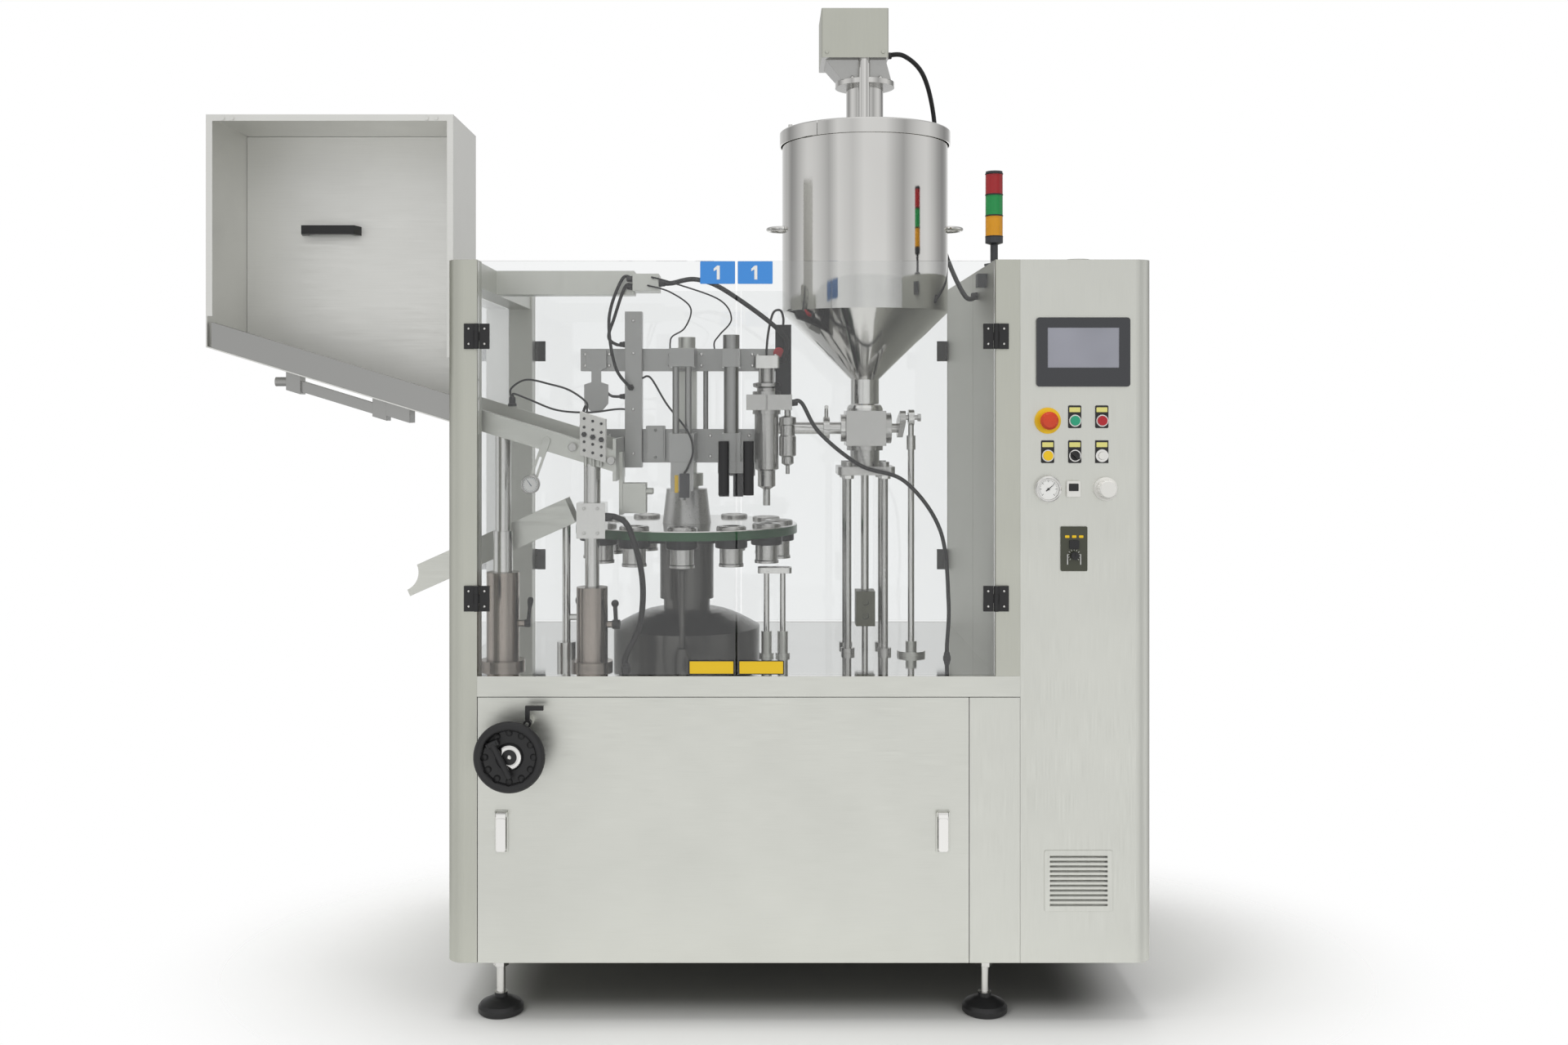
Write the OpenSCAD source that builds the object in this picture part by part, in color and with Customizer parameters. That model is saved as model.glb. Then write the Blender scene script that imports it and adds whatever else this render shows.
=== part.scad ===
// Automatic tube filling machine with a twelve-station turret, a hopper and a tube cassette.
// Millimetres. X runs to the right, Y to the rear, Z up from the floor.
// The middle of the whole machine's footprint is the origin.

/* [Cabinet] */
// Width over the outer faces of the cabinet
cab_w = 1620; // [1600:5:1700]
// Depth from the front face to the rear face
cab_d = 880; // [860:5:960]
// Height of the cabinet underside above the floor
foot_h = 133; // [115:1:160]
// Height of the worktop surface above the floor
table_z = 789; // [770:1:840]
// Height of the guard above the worktop
guard_h = 954; // [940:1:1000]
// Width of the left post
post_w = 71; // [60:1:80]
// Depth of the left posts
post_d = 60; // [50:1:70]
// Width of the right door post
door_post_w = 56; // [50:1:70]
// Width of the electrical cabinet
elec_w = 305; // [290:1:330]
// Sheet thickness of panels and trays
sheet_t = 3; // [2:0.5:4]
// Thickness of the worktop plate
table_t = 10; // [8:1:15]
// Height of the worktop's folded front edge
fascia_h = 47; // [40:1:55]
// Radius of the cabinet's rounded outer corners
corner_r = 40; // [25:1:50]
// Section of the base frame tubes
frame_s = 40; // [30:1:45]
// Section of the overhead beams
beam_s = 59; // [50:1:65]
// Diameter of a levelling foot pad
pad_d = 105; // [90:1:115]

/* [Guard doors] */
// Thickness of the clear door panes
door_t = 8; // [6:1:10]
// Gap round a closed door
door_gap = 3; // [2:0.5:5]
// Side of a square door hinge
hinge_s = 58; // [50:1:64]
// Diameter of a hinge knuckle
knuckle_d = 12; // [11:0.5:13]
// Diameter of a hinge pin
pin_d = 5; // [4:0.5:6]
// Length of a door handle
handle_l = 122; // [100:1:150]
// Diameter of a door handle
handle_d = 24; // [18:1:28]
// Clear space between a door and its handle
handle_gap = 34; // [30:1:40]

/* [Turret] */
// Turret axis to the left of the line where the doors meet
turret_off = 133; // [125:1:140]
// Turret axis from the cabinet's front face
turret_from_front = 400; // [395:1:415]
// Diameter of the station plate
plate_d = 564; // [550:1:570]
// Thickness of the station plate
plate_t = 23; // [18:1:28]
// Height of the station plate's top above the worktop
plate_h = 321; // [315:1:330]
// Thickness of the carrier disc under the plate
disc_t = 14; // [10:1:18]
// Diameter of the circle through the stations
station_pcd = 470; // [464:1:474]
// Diameter of a tube cup's body
cup_d = 56; // [50:1:58]
// Diameter of a tube cup's bore
cup_bore = 40; // [30:1:44]
// Diameter of the turning drive sleeve
sleeve_d = 100; // [94:1:104]
// Diameter of the fixed mast inside the sleeve
mast_d = 60; // [50:1:64]

/* [Filling set] */
// Pump axis to the right of the line where the doors meet
pump_off = 321; // [315:1:330]
// Pump axis from the cabinet's front face
pump_from_front = 380; // [375:1:390]
// Length of the pump's tie rods
tie_l = 446; // [435:1:455]
// Spacing of the tie rods
tie_pitch = 92; // [88:1:100]
// Diameter of the tie rods
tie_d = 18; // [14:1:20]
// Side of the pump's flange plate
flange_s = 143; // [136:1:150]
// Thickness of the pump's flange plate
flange_t = 21; // [16:1:24]
// Height of the pump barrel
barrel_h = 52; // [50:1:60]
// Bore of the pump barrel
barrel_bore = 60; // [50:1:64]
// Stroke of the pump piston
piston_stroke = 34; // [20:1:36]
// Height of the valve block
valve_h = 88; // [84:1:96]
// Width of the valve block
valve_w = 100; // [94:1:104]
// Diameter of the valve plug
plug_d = 52; // [46:1:56]
// Diameter of the product pipe
pipe_d = 31; // [26:1:34]
// Length of the valve lever to its pin
lever_l = 80; // [76:1:84]
// Swing of the valve lever, half of it to each side of level
lever_swing = 40; // [30:1:44]

/* [Hopper] */
// Diameter of the hopper
hopper_d = 420; // [400:1:430]
// Height of the hopper's straight wall
hopper_h = 452; // [400:1:480]
// Height of the hopper's cone
cone_h = 170; // [160:1:190]
// Diameter of the hopper's neck
neck_d = 72; // [64:1:78]
// Height of the hopper's neck
neck_h = 79; // [70:1:90]
// Distance of the filling flap's hinge from the hopper axis
flap_x = 128; // [122:1:140]
// Width of the mixer motor cover
cover_w = 167; // [150:1:175]
// Height of the mixer motor cover
cover_h = 123; // [110:1:140]

/* [Tube cassette] */
// Width of the tube cassette
tray_w = 580; // [560:1:600]
// Depth of the tube cassette
tray_d = 275; // [260:1:290]
// Front of the cassette behind the cabinet's front face
tray_y = 80; // [74:1:90]
// Height of the tray floor above the worktop at the cabinet side
tray_h = 582; // [560:1:600]
// Height of the cassette top above the tray floor at the cabinet side
tray_wall_h = 720; // [680:1:740]
// Slope of the tray and the infeed chute, degrees
tray_slope = 17; // [15:0.5:19]
// End of the infeed chute to the left of the turret axis
chute_gap = 159; // [150:1:166]
// Slope of the discharge chute, degrees
exit_slope = 24; // [20:0.5:26]
// Length of the discharge chute
exit_l = 440; // [420:1:450]

/* [Handwheel] */
// Diameter of the handwheel
wheel_d = 161; // [150:1:165]
// Handwheel axis to the right of the cabinet's left face
wheel_from_left = 158; // [154:1:170]
// Handwheel axis below the worktop
wheel_drop = 167; // [160:1:175]
// Distance of the handwheel rim from the front panel
wheel_off = 78; // [74:1:84]
// Diameter of the jog shaft
jog_d = 24; // [20:1:26]

/* [Controls] */
// Width of the operator panel
panel_w = 214; // [200:1:230]
// Height of the operator panel
panel_h = 158; // [150:1:168]
// Diameter of the push buttons
button_d = 22; // [18:1:24]
// Pitch between controls in a row
control_pitch = 62; // [58:1:66]
// Diameter of the emergency stop's head
stop_d = 41; // [36:1:46]
// Diameter of the signal tower
tower_d = 42; // [36:1:46]

/* [Hidden] */
$fn = 48;
// Running fit on a pin or a shaft, radius
fit = 0.05;
// Clearance between pieces that pass each other
clear = 0.4;
// Bedding gap between separate pieces of one node
bed = 0.2;
// Gap between a hose's end and the face it sits on
seat = 0.3;
// Overcut that takes a cutter past a face
cut = 1;

left_x = -cab_w / 2;
right_x = cab_w / 2;
post_x = left_x + post_w;
elec_x = right_x - elec_w;
door_post_x = elec_x - door_post_w;
table_under = table_z - table_t;
top_z = table_z + guard_h;
door_w = (door_post_x - post_x) / 2;
// Line where the two front doors meet
meet_x = post_x + door_w;
hinge_z = [table_z + 178, table_z + 778];
handle_z = table_z + 478;
axis_y = -knuckle_d / 2 - 1;

turret = [meet_x - turret_off, turret_from_front];
plate_z = table_z + plate_h;
disc_z = plate_z - plate_t - disc_t;
station_n = 12;
// Air manifold at the beam's free end: middle, front face, middle height, and its half width
manifold = [turret[0] - 94, 246, top_z - 31];
manifold_w = 32;
// Cup seat in the station plate, and the collar that clamps the cup from below
cup_seat_d = cup_d + 10;
collar_d = cup_d + 22;
function station(a) = turret + station_pcd / 2 * [cos(a), sin(a)];
fill = station(-30);
lifter_x = [fill[0], fill[0] + 40];
hub_z = plate_z + 87;
mast_z = plate_z + 474;
mast_s = 50;
// Where the mast stands on the index gearbox
gear_seat = table_z - 99;
beam_y = turret[1] - mast_s / 2;
upper_z = plate_z + 386;
lower_z = plate_z + 156;

pump = [meet_x + pump_off, pump_from_front];
flange_z = table_z + tie_l;
barrel_z = flange_z + flange_t;
valve_z = barrel_z + barrel_h;
valve_top = valve_z + valve_h;
valve_mid = valve_z + valve_h / 2;
cone_z = valve_top + neck_h;
wall_z = cone_z + cone_h;
rim_z = wall_z + hopper_h;
hopper_r = hopper_d / 2;
lid_t = 6;
lid_top = rim_z + lid_t;
cover_z = lid_top + 173;
cover_x = pump[0] - 30;
flap_axis = [pump[0] - flap_x, lid_top + 6];
lever_x = pump[0] + valve_w / 2 + 32;
link_x = lever_x + 28;
link_y = pump[1] - lever_l * cos(lever_swing / 2);
link_z = valve_mid + lever_l * sin(lever_swing / 2);

tray_top = table_z + tray_h + tray_wall_h;
tray_z = table_z + tray_h;
tray_x = left_x - tray_w;
tray_y1 = tray_y + tray_d;
chute_x = turret[0] - chute_gap;
function floor_z(x) = tray_z - (x - left_x) * tan(tray_slope);
chute_y = [tray_y + 10, tray_y1 - 30];
column_1 = [left_x + 105, 150];
column_2 = [chute_x - 53, 132];
column_3 = [turret[0] - 289, 254];
exit_y = [205, 295];
exit_top = [turret[0] - 262, plate_z + 18];

wheel = [left_x + wheel_from_left, table_z - wheel_drop];
// End of the jog shaft inside the cabinet, and the folding grip's turn, place and height on the wheel
jog_end = 330;
grip_turn = 117;
grip_at = [44, 17];
grip_off = wheel_off + 12;
panel_mid = [(elec_x + right_x) / 2 - 9, top_z - 212];
row_x = [for (i = [-1:1]) panel_mid[0] - 19 + i * control_pitch];
row_z = [panel_mid[1] - 157, panel_mid[1] - 237, panel_mid[1] - 313];
speed = [row_x[1] - 2, panel_mid[1] - 450];
vent = [panel_mid[0] - 10, foot_h + 188];
tower = [(door_post_x + elec_x) / 2 - 8, 150];
latch_z = foot_h + 301;
front_panel_x = [post_x + 1.5, elec_x - 117.5];
panel_fold = 20;
latch_x = [front_panel_x[0] + 55, front_panel_x[1] - 60];
feet = [for (x = [left_x + 116, elec_x - 73]) for (y = [58, cab_d - 60]) [x, y]];

// The whole machine's footprint is centred on the origin.
wheel_front = -wheel_off - 20;
rear_reach = cab_d + handle_gap + handle_d;
mid = [(tray_x + right_x) / 2, (wheel_front + rear_reach) / 2];

module block(a, b) { translate(a) cube(b - a); }
module upright(p, d, z0, z1) { translate([p[0], p[1], z0]) cylinder(d = d, h = z1 - z0); }
module bar_x(p, d, x0, x1) { translate([x0, p[0], p[1]]) rotate([0, 90, 0]) cylinder(d = d, h = x1 - x0); }
module bar_y(p, d, y0, y1) { translate([p[0], y0, p[1]]) rotate([-90, 0, 0]) cylinder(d = d, h = y1 - y0); }
// A plate drawn in the XZ plane between two depths
module face_plate(y0, y1) { translate([0, y1, 0]) rotate([90, 0, 0]) linear_extrude(y1 - y0) children(); }
// A rectangle with the corner at its origin rounded
module plan(w, d, r) {
    difference() {
        square([w, d]);
        difference() {
            translate([-cut, -cut]) square(r + cut);
            translate([r, r]) circle(r);
        }
    }
}
// A rectangle about its middle with rounded corners
module round_rect(w, h, r) {
    square([w - 2 * r, h], center = true);
    square([w, h - 2 * r], center = true);
    for (x = [-1, 1]) for (y = [-1, 1]) translate([x * (w / 2 - r), y * (h / 2 - r)]) circle(r);
}
module stations() {
    for (i = [0:station_n - 1]) rotate(i * 360 / station_n) translate([station_pcd / 2, 0, 0]) children();
}
// A stretch of the sloping floor: from one X to another, with heights measured from the floor
module on_floor(x0, x1, h0, h1, y0, y1) {
    face_plate(y0, y1) polygon([[x0, floor_z(x0) + h0], [x1, floor_z(x1) + h0],
        [x1, floor_z(x1) + h1], [x0, floor_z(x0) + h1]]);
}
// Where a guard door hangs: hinge edge at the origin, +x across the opening, -y outward
module at_door(right, rear) {
    translate([right ? door_post_x : post_x, rear ? cab_d : 0, 0])
        mirror([right ? 1 : 0, 0, 0]) mirror([0, rear ? 1 : 0, 0]) children();
}

module base_frame() color("dimgray") {
    y0 = panel_fold + 6;
    y1 = cab_d - sheet_t;
    z0 = foot_h + sheet_t;
    s = frame_s;
    x0 = left_x + sheet_t;
    for (z = [z0, table_under - s]) {
        block([post_x, y0, z], [elec_x, y0 + s, z + s]);
        block([x0, y1 - s, z], [elec_x, y1, z + s]);
        block([x0, post_d, z], [x0 + s, y1, z + s]);
        block([elec_x - s, y0, z], [elec_x, y1, z + s]);
    }
    for (p = [[post_x, y0], [elec_x - s, y0], [x0, y1 - s], [elec_x - s, y1 - s]])
        block([p[0], p[1], z0], [p[0] + s, p[1] + s, table_under]);
    block([x0, post_d, z0], [post_x + s, post_d + s, z0 + s]);
}

module base_panels() color("lightgray") {
    t = sheet_t;
    block([left_x, post_d, foot_h], [left_x + t, cab_d, table_under]);
    seam = 1;
    middle = (left_x + elec_x) / 2;
    for (x = [[left_x + t + seam, middle - seam], [middle + seam, elec_x - seam]])
        block([x[0], cab_d - t, foot_h], [x[1], cab_d, table_under]);
    difference() {
        block([left_x + t, panel_fold + 6, foot_h], [elec_x, cab_d - t - seam, foot_h + t]);
        block([left_x, 0, foot_h - cut], [post_x, post_d, foot_h + t + cut]);
    }
    block([front_panel_x[1] + 1.5, 0, foot_h], [elec_x - 0.5, t, table_z - fascia_h - 1.5]);
    block([front_panel_x[1] + 1.5, t, foot_h + t], [front_panel_x[1] + 1.5 + t, panel_fold + 6, foot_h + 60]);
}

module front_panel() color("lightgray") {
    z = [foot_h, table_z - fascia_h - 1.5];
    t = sheet_t;
    difference() {
        block([front_panel_x[0], 0, z[0]], [front_panel_x[1], panel_fold + 6, z[1]]);
        block([front_panel_x[0] + t, t, z[0] + t], [front_panel_x[1] - t, panel_fold + 7, z[1] - t]);
        bar_y(wheel, jog_d + 8, -cut, t + cut);
    }
    // Bearing for the jog shaft
    translate([wheel[0], 0, wheel[1]]) rotate([90, 0, 0]) rotate_extrude()
        polygon([[jog_d / 2 + fit, 0], [35, 0], [35, 8], [24, 8], [22, 34], [jog_d / 2 + fit, 34]]);
    // Boss that carries the clutch lever
    bar_y([wheel[0] + 34, wheel[1] + 66], 20, -22, 0);
    bar_y([wheel[0] + 34, wheel[1] + 66], 8, -46, -22);
    // Rim plates of the two paddle latches, with their hinge pins
    for (x = latch_x) {
        difference() {
            face_plate(-3, 0) translate([x, latch_z]) round_rect(32, 98, 6);
            block([x - 12, -4, latch_z - 45], [x + 12, cut, latch_z + 36]);
        }
        for (s = [-1, 1])
            block([x + s * 13.5 - 1.5, -13, latch_z + 36], [x + s * 13.5 + 1.5, -3, latch_z + 47]);
        bar_x([-8, latch_z + 41], 4, x - 15, x + 15);
    }
}

module worktop() color("silver") {
    difference() {
        union() {
            block([left_x, 0, table_under], [elec_x, cab_d, table_z]);
            block([post_x, 0, table_z - fascia_h], [elec_x, sheet_t, table_z]);
        }
        block([left_x - cut, -cut, table_under - cut], [post_x, post_d, table_z + cut]);
        upright(turret, sleeve_d + 4, table_under - cut, table_z + cut);
        upright(pump, 18, table_under - cut, table_z + cut);
        upright([link_x, link_y], 18, table_under - cut, table_z + cut);
        for (x = lifter_x) upright([x, fill[1]], 16, table_under - cut, table_z + cut);
    }
    // Guide bushes for the link rod and the lifter rods
    bush([link_x, link_y], 16, 70, 10, 34);
    for (x = lifter_x) bush([x, fill[1]], 14, 36, 8, 62);
}
module bush(p, bore, flange, thick, h) {
    translate([p[0], p[1], table_z]) rotate_extrude()
        polygon([[bore / 2 + fit, 0], [flange / 2, 0], [flange / 2, thick],
            [bore / 2 + 6, thick], [bore / 2 + 6, h], [bore / 2 + fit, h]]);
}

module door_posts() color("silver") {
    left_post();
    right_post();
}
module left_post() {
    t = sheet_t;
    translate([left_x, 0, foot_h]) difference() {
        linear_extrude(top_z - foot_h) plan(post_w, post_d, corner_r);
        translate([t, t, -cut]) linear_extrude(top_z - foot_h - t + cut)
            plan(post_w - 2 * t, post_d - 2 * t, corner_r - t);
    }
}

module right_post() {
    t = sheet_t;
    seam_y = 364;
    difference() {
        block([door_post_x, 0, table_z], [elec_x, cab_d, top_z]);
        block([door_post_x + t, t, table_z - cut], [elec_x + cut, cab_d - t, top_z - t]);
        block([door_post_x - cut, seam_y, table_z - cut], [door_post_x + 1, seam_y + 3, top_z + cut]);
    }
}

module electrical_cabinet() color("silver") {
    t = sheet_t;
    difference() {
        translate([right_x, 0, foot_h]) linear_extrude(top_z - foot_h)
            mirror([1, 0]) plan(elec_w, cab_d, corner_r);
        translate([right_x - t, t, foot_h - cut]) linear_extrude(top_z - foot_h - t + cut)
            mirror([1, 0]) plan(elec_w - 2 * t, cab_d - 2 * t, corner_r - t);
        block([panel_mid[0] - panel_w / 2 + 9, -cut, panel_mid[1] - panel_h / 2 + 9],
            [panel_mid[0] + panel_w / 2 - 9, t + cut, panel_mid[1] + panel_h / 2 - 9]);
        for (z = [row_z[0], row_z[1]]) for (x = row_x) bar_y([x, z], button_d + 2, -cut, t + cut);
        bar_y([row_x[2] + 8, row_z[2]], 20, -cut, t + cut);
        bar_y([speed[0], speed[1] - 15], 12, -cut, t + cut);
        block([vent[0] - 70, -cut, vent[1] - 62], [vent[0] + 70, t + cut, vent[1] + 62]);
    }
    // Pressed vent grille
    slot_n = 11;
    difference() {
        face_plate(-2, 0) translate(vent) round_rect(157, 140, 5);
        for (i = [0:slot_n - 1]) translate([vent[0], -1, vent[1] + (i - (slot_n - 1) / 2) * 11])
            cube([132, 4, 5], center = true);
    }
    // Hooded louvre blades behind the slots
    for (i = [0:slot_n - 1]) translate([vent[0], 0, vent[1] + (i - (slot_n - 1) / 2) * 11])
        louvre_blade();
    cable_entry_cap();
}
module louvre_blade() {
    translate([-67, 0, 3]) rotate([90, 0, 90]) linear_extrude(134)
        polygon([[0, 0], [0, 1.6], [5, -3.4], [5, -5]]);
}
// Cap over the cable entry on the cabinet's top
module cable_entry_cap() { upright([panel_mid[0] + 6, 90], 58, top_z, top_z + 8); }

module guard_frame() color("silver") {
    s = beam_s;
    x1 = post_x - 5;
    translate([left_x, cab_d, table_z]) linear_extrude(top_z - table_z)
        mirror([0, 1]) plan(post_w, post_d, corner_r);
    difference() {
        block([x1 - s, post_d, top_z - s], [x1, cab_d - post_d, top_z]);
        block([x1 - s + 4, post_d + 4, top_z - s + 4], [x1 - 4, cab_d - post_d - 4, top_z - 4]);
    }
    block([x1, 280, top_z - s], [manifold[0] - manifold_w + cut, 280 + s, top_z]);
    // Spacer between the side beam and the cassette
    block([left_x, tray_y + 20, top_z - s], [x1 - s, tray_y1 - 20, top_z]);
    // Air manifold at the beam's free end
    block([manifold[0] - manifold_w, manifold[1], manifold[2] - 21],
        [manifold[0] + manifold_w, 332, manifold[2] + 21]);
}

module side_guard() color("gainsboro", 0.4) {
    z0 = floor_z(left_x) - 40;
    difference() {
        block([left_x, post_d, table_z], [left_x + 6, cab_d - post_d, top_z - beam_s]);
        block([left_x - cut, tray_y - 8, z0], [left_x + 7, tray_y1 + 8, z0 + 200]);
        block([left_x - cut, exit_y[0] - 15, table_z + 140], [left_x + 7, exit_y[1] + 15, table_z + 340]);
    }
}

// One hinge half on a post: plate, outer knuckles and the pin
module fixed_leaf() {
    h = hinge_s / 2;
    k = knuckle_d / 2;
    for (z = hinge_z) translate([0, 0, z]) {
        difference() {
            union() {
                block([-h, -6, -h], [-k - 0.6, 0, h]);
                for (s = [-1, 1]) translate([0, 0, s * h * 2 / 3]) {
                    block([-k - 1, -6, -h / 3 + 0.3], [0, 0, h / 3]);
                    translate([0, axis_y, -h / 3 + 0.3]) cylinder(d = knuckle_d, h = h * 2 / 3 - 0.3);
                }
            }
            for (s = [-1, 1])
                translate([-h * 0.62, -7, s * h * 0.6]) rotate([-90, 0, 0]) cylinder(d = 7, h = 3);
        }
        translate([0, axis_y, -h]) cylinder(d = pin_d, h = 2 * h);
    }
}
// The other half, on the door: plate and middle knuckle
module moving_leaf() {
    h = hinge_s / 2;
    k = knuckle_d / 2;
    for (z = hinge_z) translate([0, 0, z]) {
        difference() {
            union() {
                block([k + 0.6, -6, -h], [h, 0, h]);
                block([0, -6, -h / 3], [k + 1, 0, h / 3]);
                translate([0, axis_y, -h / 3]) cylinder(d = knuckle_d, h = h * 2 / 3);
            }
            translate([0, axis_y, -h]) cylinder(d = pin_d + 2 * fit, h = 2 * h);
            for (s = [-1, 1])
                translate([h * 0.62, -7, s * h * 0.6]) rotate([-90, 0, 0]) cylinder(d = 7, h = 3);
        }
    }
}
// The pane stands a bedding gap behind its fittings
module pane() { block([door_gap, bed, table_z + door_gap], [door_w - 2, door_t + bed, top_z - door_gap]); }
module door_handle() {
    x = door_w - 28;
    y = -handle_gap - handle_d / 2;
    upright([x, y], handle_d, handle_z - handle_l / 2, handle_z + handle_l / 2);
    for (s = [-1, 1]) bar_y([x, handle_z + s * (handle_l / 2 - 14)], 16, y, 0);
}
module hinge_leaves() color("dimgray") {
    for (right = [false, true]) for (rear = [false, true]) at_door(right, rear) fixed_leaf();
}
module left_door() color("gainsboro", 0.35) at_door(false, false) pane();
module right_door() color("gainsboro", 0.35) at_door(true, false) pane();
module door_fittings(right, rear) color("dimgray") at_door(right, rear) {
    moving_leaf();
    door_handle();
}
module left_door_fittings() { door_fittings(false, false); }
module right_door_fittings() { door_fittings(true, false); }
module rear_left_door() {
    color("gainsboro", 0.35) at_door(false, true) pane();
    door_fittings(false, true);
}
module rear_right_door() {
    color("gainsboro", 0.35) at_door(true, true) pane();
    door_fittings(true, true);
}

module levelling_feet() color("dimgray") {
    pad_h = 46;
    for (p = feet) {
        translate([p[0], p[1], 0]) rotate_extrude()
            polygon([[0, 0], [pad_d / 2 - 3, 0], [pad_d / 2, 3], [pad_d / 2, 14], [pad_d / 2 - 6, 22],
                [pad_d / 4, 32], [15, 36], [15, pad_h], [0, pad_h]]);
        upright(p, 20, pad_h, foot_h);
        translate([p[0], p[1], foot_h - 26]) cylinder(d = 36, h = 14, $fn = 6);
    }
}

module cassette_box() color("silver") {
    t = sheet_t;
    x0 = tray_x;
    z0 = floor_z(x0);
    difference() {
        face_plate(tray_y, tray_y1)
            polygon([[x0, z0 - t], [left_x, tray_z - t], [left_x, tray_top], [x0, tray_top]]);
        face_plate(tray_y - cut, tray_y1 - t)
            polygon([[x0 + t, floor_z(x0 + t)], [left_x - t, floor_z(left_x - t)],
            [left_x - t, tray_top - t], [x0 + t, tray_top - t]]);
        // Outlet to the infeed chute
        block([left_x - t - cut, tray_y - cut, tray_z - 0.2], [left_x + cut, tray_y1 - t, tray_z + 130]);
    }
    // Folded front edges
    block([x0 + t, tray_y, z0 + 70], [x0 + 15, tray_y + t, tray_top - t]);
    block([left_x - 15, tray_y, tray_z + 150], [left_x - t, tray_y + t, tray_top - t]);
    block([x0 + 15, tray_y, tray_top - 15], [left_x - 15, tray_y + t, tray_top - t]);
    // Button-head screws on the top edge
    for (x = [40, 62, tray_w - 62, tray_w - 40]) bar_y([x0 + x, tray_top - 9], 9, tray_y - 3, tray_y);
}

module cassette_rail() color("lightgray") {
    on_floor(tray_x + 12, left_x - 5, 0, 60, tray_y + 2, tray_y + 32);
    // Adjuster under the tray: guide bar, end blocks and clamp knob
    y = tray_y + 60;
    t = sheet_t;
    for (x = [175, 380]) on_floor(tray_x + x, tray_x + x + 34, -t - 46, -t, y - 20, y + 20);
    on_floor(tray_x + 209, tray_x + 380, -t - 40, -t - 14, y - 13, y + 13);
    on_floor(tray_x + 414, tray_x + 470, -t - 34, -t, y - 28, y + 28);
    bar_x([y, floor_z(tray_x + 175) - t - 26], 22, tray_x + 145, tray_x + 175);
}

module cassette_backplate() color("silver") {
    t = sheet_t;
    gap = 0.5;
    y1 = tray_y1 - t - 2;
    x0 = tray_x + t + gap;
    x1 = left_x - t - gap;
    face_plate(y1 - t, y1) polygon([[x0, floor_z(x0) + gap], [x1, floor_z(x1) + gap],
        [x1, tray_top - t - gap], [x0, tray_top - t - gap]]);
    // Bridge handle
    hx = tray_x + 218;
    hz = tray_top - 242;
    translate([hx, y1 - t, hz]) rotate([0, 0, 180]) linear_extrude(22, center = true)
        polygon([[-75, 0], [-66, 38], [66, 38], [75, 0], [58, 0], [52, 26], [-52, 26], [-58, 0]]);
}

module infeed_chute() color("silver") {
    t = sheet_t;
    end_t = 8;
    gap = 0.5;
    front = chute_y[0];
    end = chute_x + cut;
    on_floor(left_x + gap, end, -t, 0, front, chute_y[1]);
    on_floor(left_x + gap, end, -cut, 44, front, front + t);
    on_floor(left_x + gap, end, -cut, 66, chute_y[1] - t, chute_y[1]);
    // Cover strip over the tube path
    on_floor(left_x + 40, end, 44 - cut, 44 + t, front, front + 36);
    block([chute_x, front, floor_z(chute_x) - 26], [chute_x + end_t, chute_y[1], floor_z(chute_x) + 74]);
    // Loader head over the loading station
    p = station(-120);
    x = chute_x + end_t;
    block([x - cut, p[1] - 26, plate_z + 36], [x + 8, p[1] + 26, floor_z(chute_x) + 40]);
    difference() {
        block([x + 7, p[1] - 24, plate_z + 40], [p[0] + 30, p[1] + 24, plate_z + 112]);
        upright(p, 34, plate_z + 39, plate_z + 113);
    }
    for (s = [-1, 1]) bar_x([p[1] + s * 13, plate_z + 92], 14, p[0] + 29, p[0] + 46);
    // Air valve on the front wall, with three fittings under it
    on_floor(chute_x - 74, chute_x - 14, 14, 116, front - 26, front + cut);
    low = floor_z(chute_x - 44);
    for (i = [0:2]) upright([chute_x - 62 + i * 18, front - 13], 8, low - 4, low + 30);
    dial_gauge(chute_x - 155, front);
}
// Dial gauge on a slotted bracket in front of the chute
module dial_gauge(x, front) {
    top = [x, floor_z(x) + 22];
    low = [x - 36, floor_z(x) - 80];
    difference() {
        face_plate(front - 6, front + cut) hull() { translate(top) circle(9); translate(low) circle(9); }
        face_plate(front - 7, front + 2 * cut) hull() {
            translate(top * 0.6 + low * 0.4) circle(3.5);
            translate(top * 0.25 + low * 0.75) circle(3.5);
        }
    }
    translate([low[0], front - 5, low[1]]) rotate([90, 0, 0]) rotate_extrude()
        polygon([[0, 0], [22, 0], [22, 13], [20, 15], [18.5, 15], [18.5, 12], [0, 12]]);
}

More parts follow.
